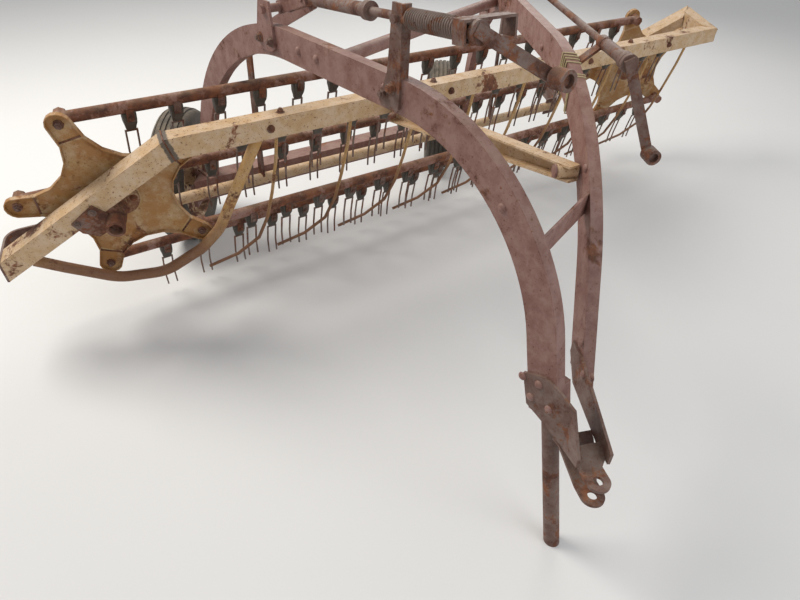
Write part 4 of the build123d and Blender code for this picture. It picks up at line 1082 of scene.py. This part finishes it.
class RAKE_OT_pivot_heads(bpy.types.Operator):
    """Sets a worn bolt head on each pin of the tooth bars and the fold across each spider arm"""

    bl_idname = "rake.pivot_heads"
    bl_label = "Pivot heads and arm folds"

    def execute(self, context):
        head = bolt_pattern(context.scene.rake_sizes.pin_head, washer=False)
        pin_reach = 0.0093
        fold_radius, fold_length = 0.0035, 0.086
        fold_back, fold_out = 0.062, 0.003
        pivots = []
        for bar in bars:
            near = joint_place(f"bar_{bar}_turn")
            far = near - reel_axis * (2 * bar_offset) + rail_way * bar_length
            pivots.append((near, far))
            places = [
                facing(near + reel_axis * pin_reach, reel_axis, 0.4 * bar),
                facing(far - reel_axis * pin_reach, reel_axis * -1, 0.3 * bar),
            ]
            finished(set_out(head, f"pivot_heads_{bar}", places), f"bar_{bar}", "rod_steel")
        put_away(head)
        nothing_selected()
        bpy.ops.mesh.primitive_cylinder_add(
            vertices=10, radius=fold_radius, depth=fold_length, location=(0, 0, 0)
        )
        fold = context.object
        begin_edit(fold)
        pick_faces(fold, lambda face: abs(face.normal.z) > 0.9)
        bpy.ops.mesh.inset(thickness=0.0012, depth=0.0014)
        end_edit()
        smooth(fold, 50)
        for name, centre, side in reel_ends:
            places = []
            for near, far in pivots:
                pivot = near if side > 0 else far
                arm = (pivot - centre).normalized()
                place = pivot - arm * fold_back + reel_axis * (side * fold_out)
                places.append(basis(place, reel_axis * side, arm.cross(reel_axis)))
            folds = set_out(fold, f"{name}_arm_folds", places)
            finished(folds, f"{name}_reel", "reel_paint", "bearing_iron")
        put_away(fold)
        return {"FINISHED"}


class RAKE_OT_wheel_hardware(bpy.types.Operator):
    """Adds the wheel bolts and a valve to both wheels"""

    bl_idname = "rake.wheel_hardware"
    bl_label = "Wheel hardware"

    def execute(self, context):
        bolt = bolt_pattern(context.scene.rake_sizes.wheel_bolt)
        valve_radius, valve_length, stem_step, stem_length = 0.0045, 0.034, 0.0015, 0.008
        valve = cylinder_pattern(valve_radius, valve_length, 10)
        inset_top(valve, stem_step, rise=stem_length)
        valve_offset, valve_way = Vector((-0.045, 0, 0.165)), (-1, 0, -0.3)
        bolt_circle, disc_face = 0.068, -0.007
        for side, hub_face in (("right", -0.014), ("left", -0.007)):
            centre = joint_place(f"{side}_wheel_spin")
            places = []
            for count in range(5):
                angle = 2 * math.pi * count / 5
                spot = centre + Vector((0, math.cos(angle), math.sin(angle))) * bolt_circle
                places.append(facing(spot + Vector((hub_face, 0, 0)), (-1, 0, 0), 0.3 * count))
                places.append(facing(spot + Vector((disc_face, 0, 0)), (1, 0, 0), 0.2 * count))
            finished(set_out(bolt, f"{side}_wheel_bolts", places), f"{side}_wheel", "rod_steel")
            places = [facing(centre + valve_offset, valve_way)]
            finished(set_out(valve, f"{side}_valve", places), f"{side}_wheel", "mount_rubber")
        put_away(bolt, valve)
        return {"FINISHED"}


class RAKE_OT_reel_hardware(bpy.types.Operator):
    """Adds the spiders' hub bolts and the near bearing's bracket plate, bolts and barrel end"""

    bl_idname = "rake.reel_hardware"
    bl_label = "Reel hardware"

    def execute(self, context):
        bolt = bolt_pattern(context.scene.rake_sizes.hub_bolt)
        bolt_circle, hub_face, first_angle = 0.054, 0.0105, 144.3
        for name, centre, way in reel_ends:
            places = []
            for count in range(5):
                angle = math.radians(first_angle + 72 * count)
                spoke = reel_across * math.cos(angle) + reel_up * math.sin(angle)
                place = centre + spoke * bolt_circle + reel_axis * (way * hub_face)
                places.append(facing(place, reel_axis * way, 0.3 * count))
            finished(set_out(bolt, f"{name}_hub_bolts", places), f"{name}_reel", "bearing_iron")

        # The bracket plate's corners and bolts in the spider's plane, and how far out it lies
        corners = (
            (-0.148, -0.004), (-0.064, 0.070), (-0.020, 0.028),
            (-0.018, -0.036), (-0.070, -0.068), (-0.122, -0.046),
        )
        bolt_spots = ((-0.068, 0.042), (-0.127, -0.003))
        face, steel = 0.1211, 0.008
        barrel_radius, barrel_length, barrel_wall, barrel_depth = 0.032, 0.056, 0.009, 0.030
        barrel_middle = on_reel(0, -0.001, 0.152)
        nothing_selected()
        bpy.ops.mesh.primitive_circle_add(
            vertices=len(corners), radius=0.1, fill_type="NGON", location=(0, 0, 0)
        )
        bracket = context.object
        begin_edit(bracket)
        mesh = bmesh.from_edit_mesh(bracket.data)
        for number, corner in enumerate(corners):
            bpy.ops.mesh.select_all(action="DESELECT")
            mesh.verts.ensure_lookup_table()
            vertex = mesh.verts[number]
            vertex.select_set(True)
            bpy.ops.transform.translate(value=on_reel(*corner, face) - vertex.co)
        bpy.ops.mesh.select_all(action="SELECT")
        pull_out(*(reel_axis * steel))
        close_up()
        settle(bracket)
        bpy.ops.mesh.primitive_cylinder_add(
            vertices=40, radius=barrel_radius, depth=barrel_length, location=(0, 0, 0)
        )
        barrel = context.object
        inset_top(barrel, barrel_wall, rise=-barrel_depth)
        settle(barrel)
        barrel_end = set_out(barrel, "bearing_barrel", [facing(barrel_middle, reel_axis)])
        places = [facing(on_reel(*spot, face + steel), reel_axis, 0.4) for spot in bolt_spots]
        finished(set_out(bolt, "bracket_bolts", places), "basket", "tine_steel")
        joined = join_pieces([bracket, barrel_end], "near_bearing_bracket")
        smooth(joined)
        finished(joined, "basket", "bearing_iron")
        put_away(bolt, barrel)
        return {"FINISHED"}


class RAKE_PT_panel(bpy.types.Panel):
    """Lists the rake's sizes, colours and pieces"""

    bl_label = "Side delivery rake"
    bl_idname = "RAKE_PT_panel"
    bl_space_type = "VIEW_3D"
    bl_region_type = "UI"
    bl_category = "Rake"

    def draw(self, context):
        layout = self.layout
        for name in RakeSizes.__annotations__:
            layout.prop(context.scene.rake_sizes, name)
        for name in RakeColours.__annotations__:
            layout.prop(context.scene.rake_colours, name)
        for operator in operators:
            layout.operator(operator.bl_idname)


operators = (
    RAKE_OT_stage,
    RAKE_OT_finishes,
    RAKE_OT_rivets,
    RAKE_OT_frame_bolts,
    RAKE_OT_basket_bolts,
    RAKE_OT_spring,
    RAKE_OT_rubber_mounts,
    RAKE_OT_tooth_clamps,
    RAKE_OT_pivot_heads,
    RAKE_OT_welds,
    RAKE_OT_twine,
    RAKE_OT_tyres,
    RAKE_OT_wheel_hardware,
    RAKE_OT_reel_hardware,
)
classes = (RakeSizes, RakeColours) + operators + (RAKE_PT_panel,)


def register():
    for cls in classes:
        bpy.utils.register_class(cls)
    bpy.types.Scene.rake_sizes = bpy.props.PointerProperty(type=RakeSizes)
    bpy.types.Scene.rake_colours = bpy.props.PointerProperty(type=RakeColours)


def unregister():
    del bpy.types.Scene.rake_colours
    del bpy.types.Scene.rake_sizes
    for cls in reversed(classes):
        bpy.utils.unregister_class(cls)


def main():
    register()
    bpy.ops.rake.stage()
    bpy.ops.rake.finishes()
    bpy.ops.rake.rivets()
    bpy.ops.rake.frame_bolts()
    bpy.ops.rake.basket_bolts()
    bpy.ops.rake.spring()
    bpy.ops.rake.rubber_mounts()
    bpy.ops.rake.tooth_clamps()
    bpy.ops.rake.pivot_heads()
    bpy.ops.rake.welds()
    bpy.ops.rake.twine()
    bpy.ops.rake.tyres()
    bpy.ops.rake.wheel_hardware()
    bpy.ops.rake.reel_hardware()
    bpy.context.view_layer.update()


if __name__ == "__main__":
    main()
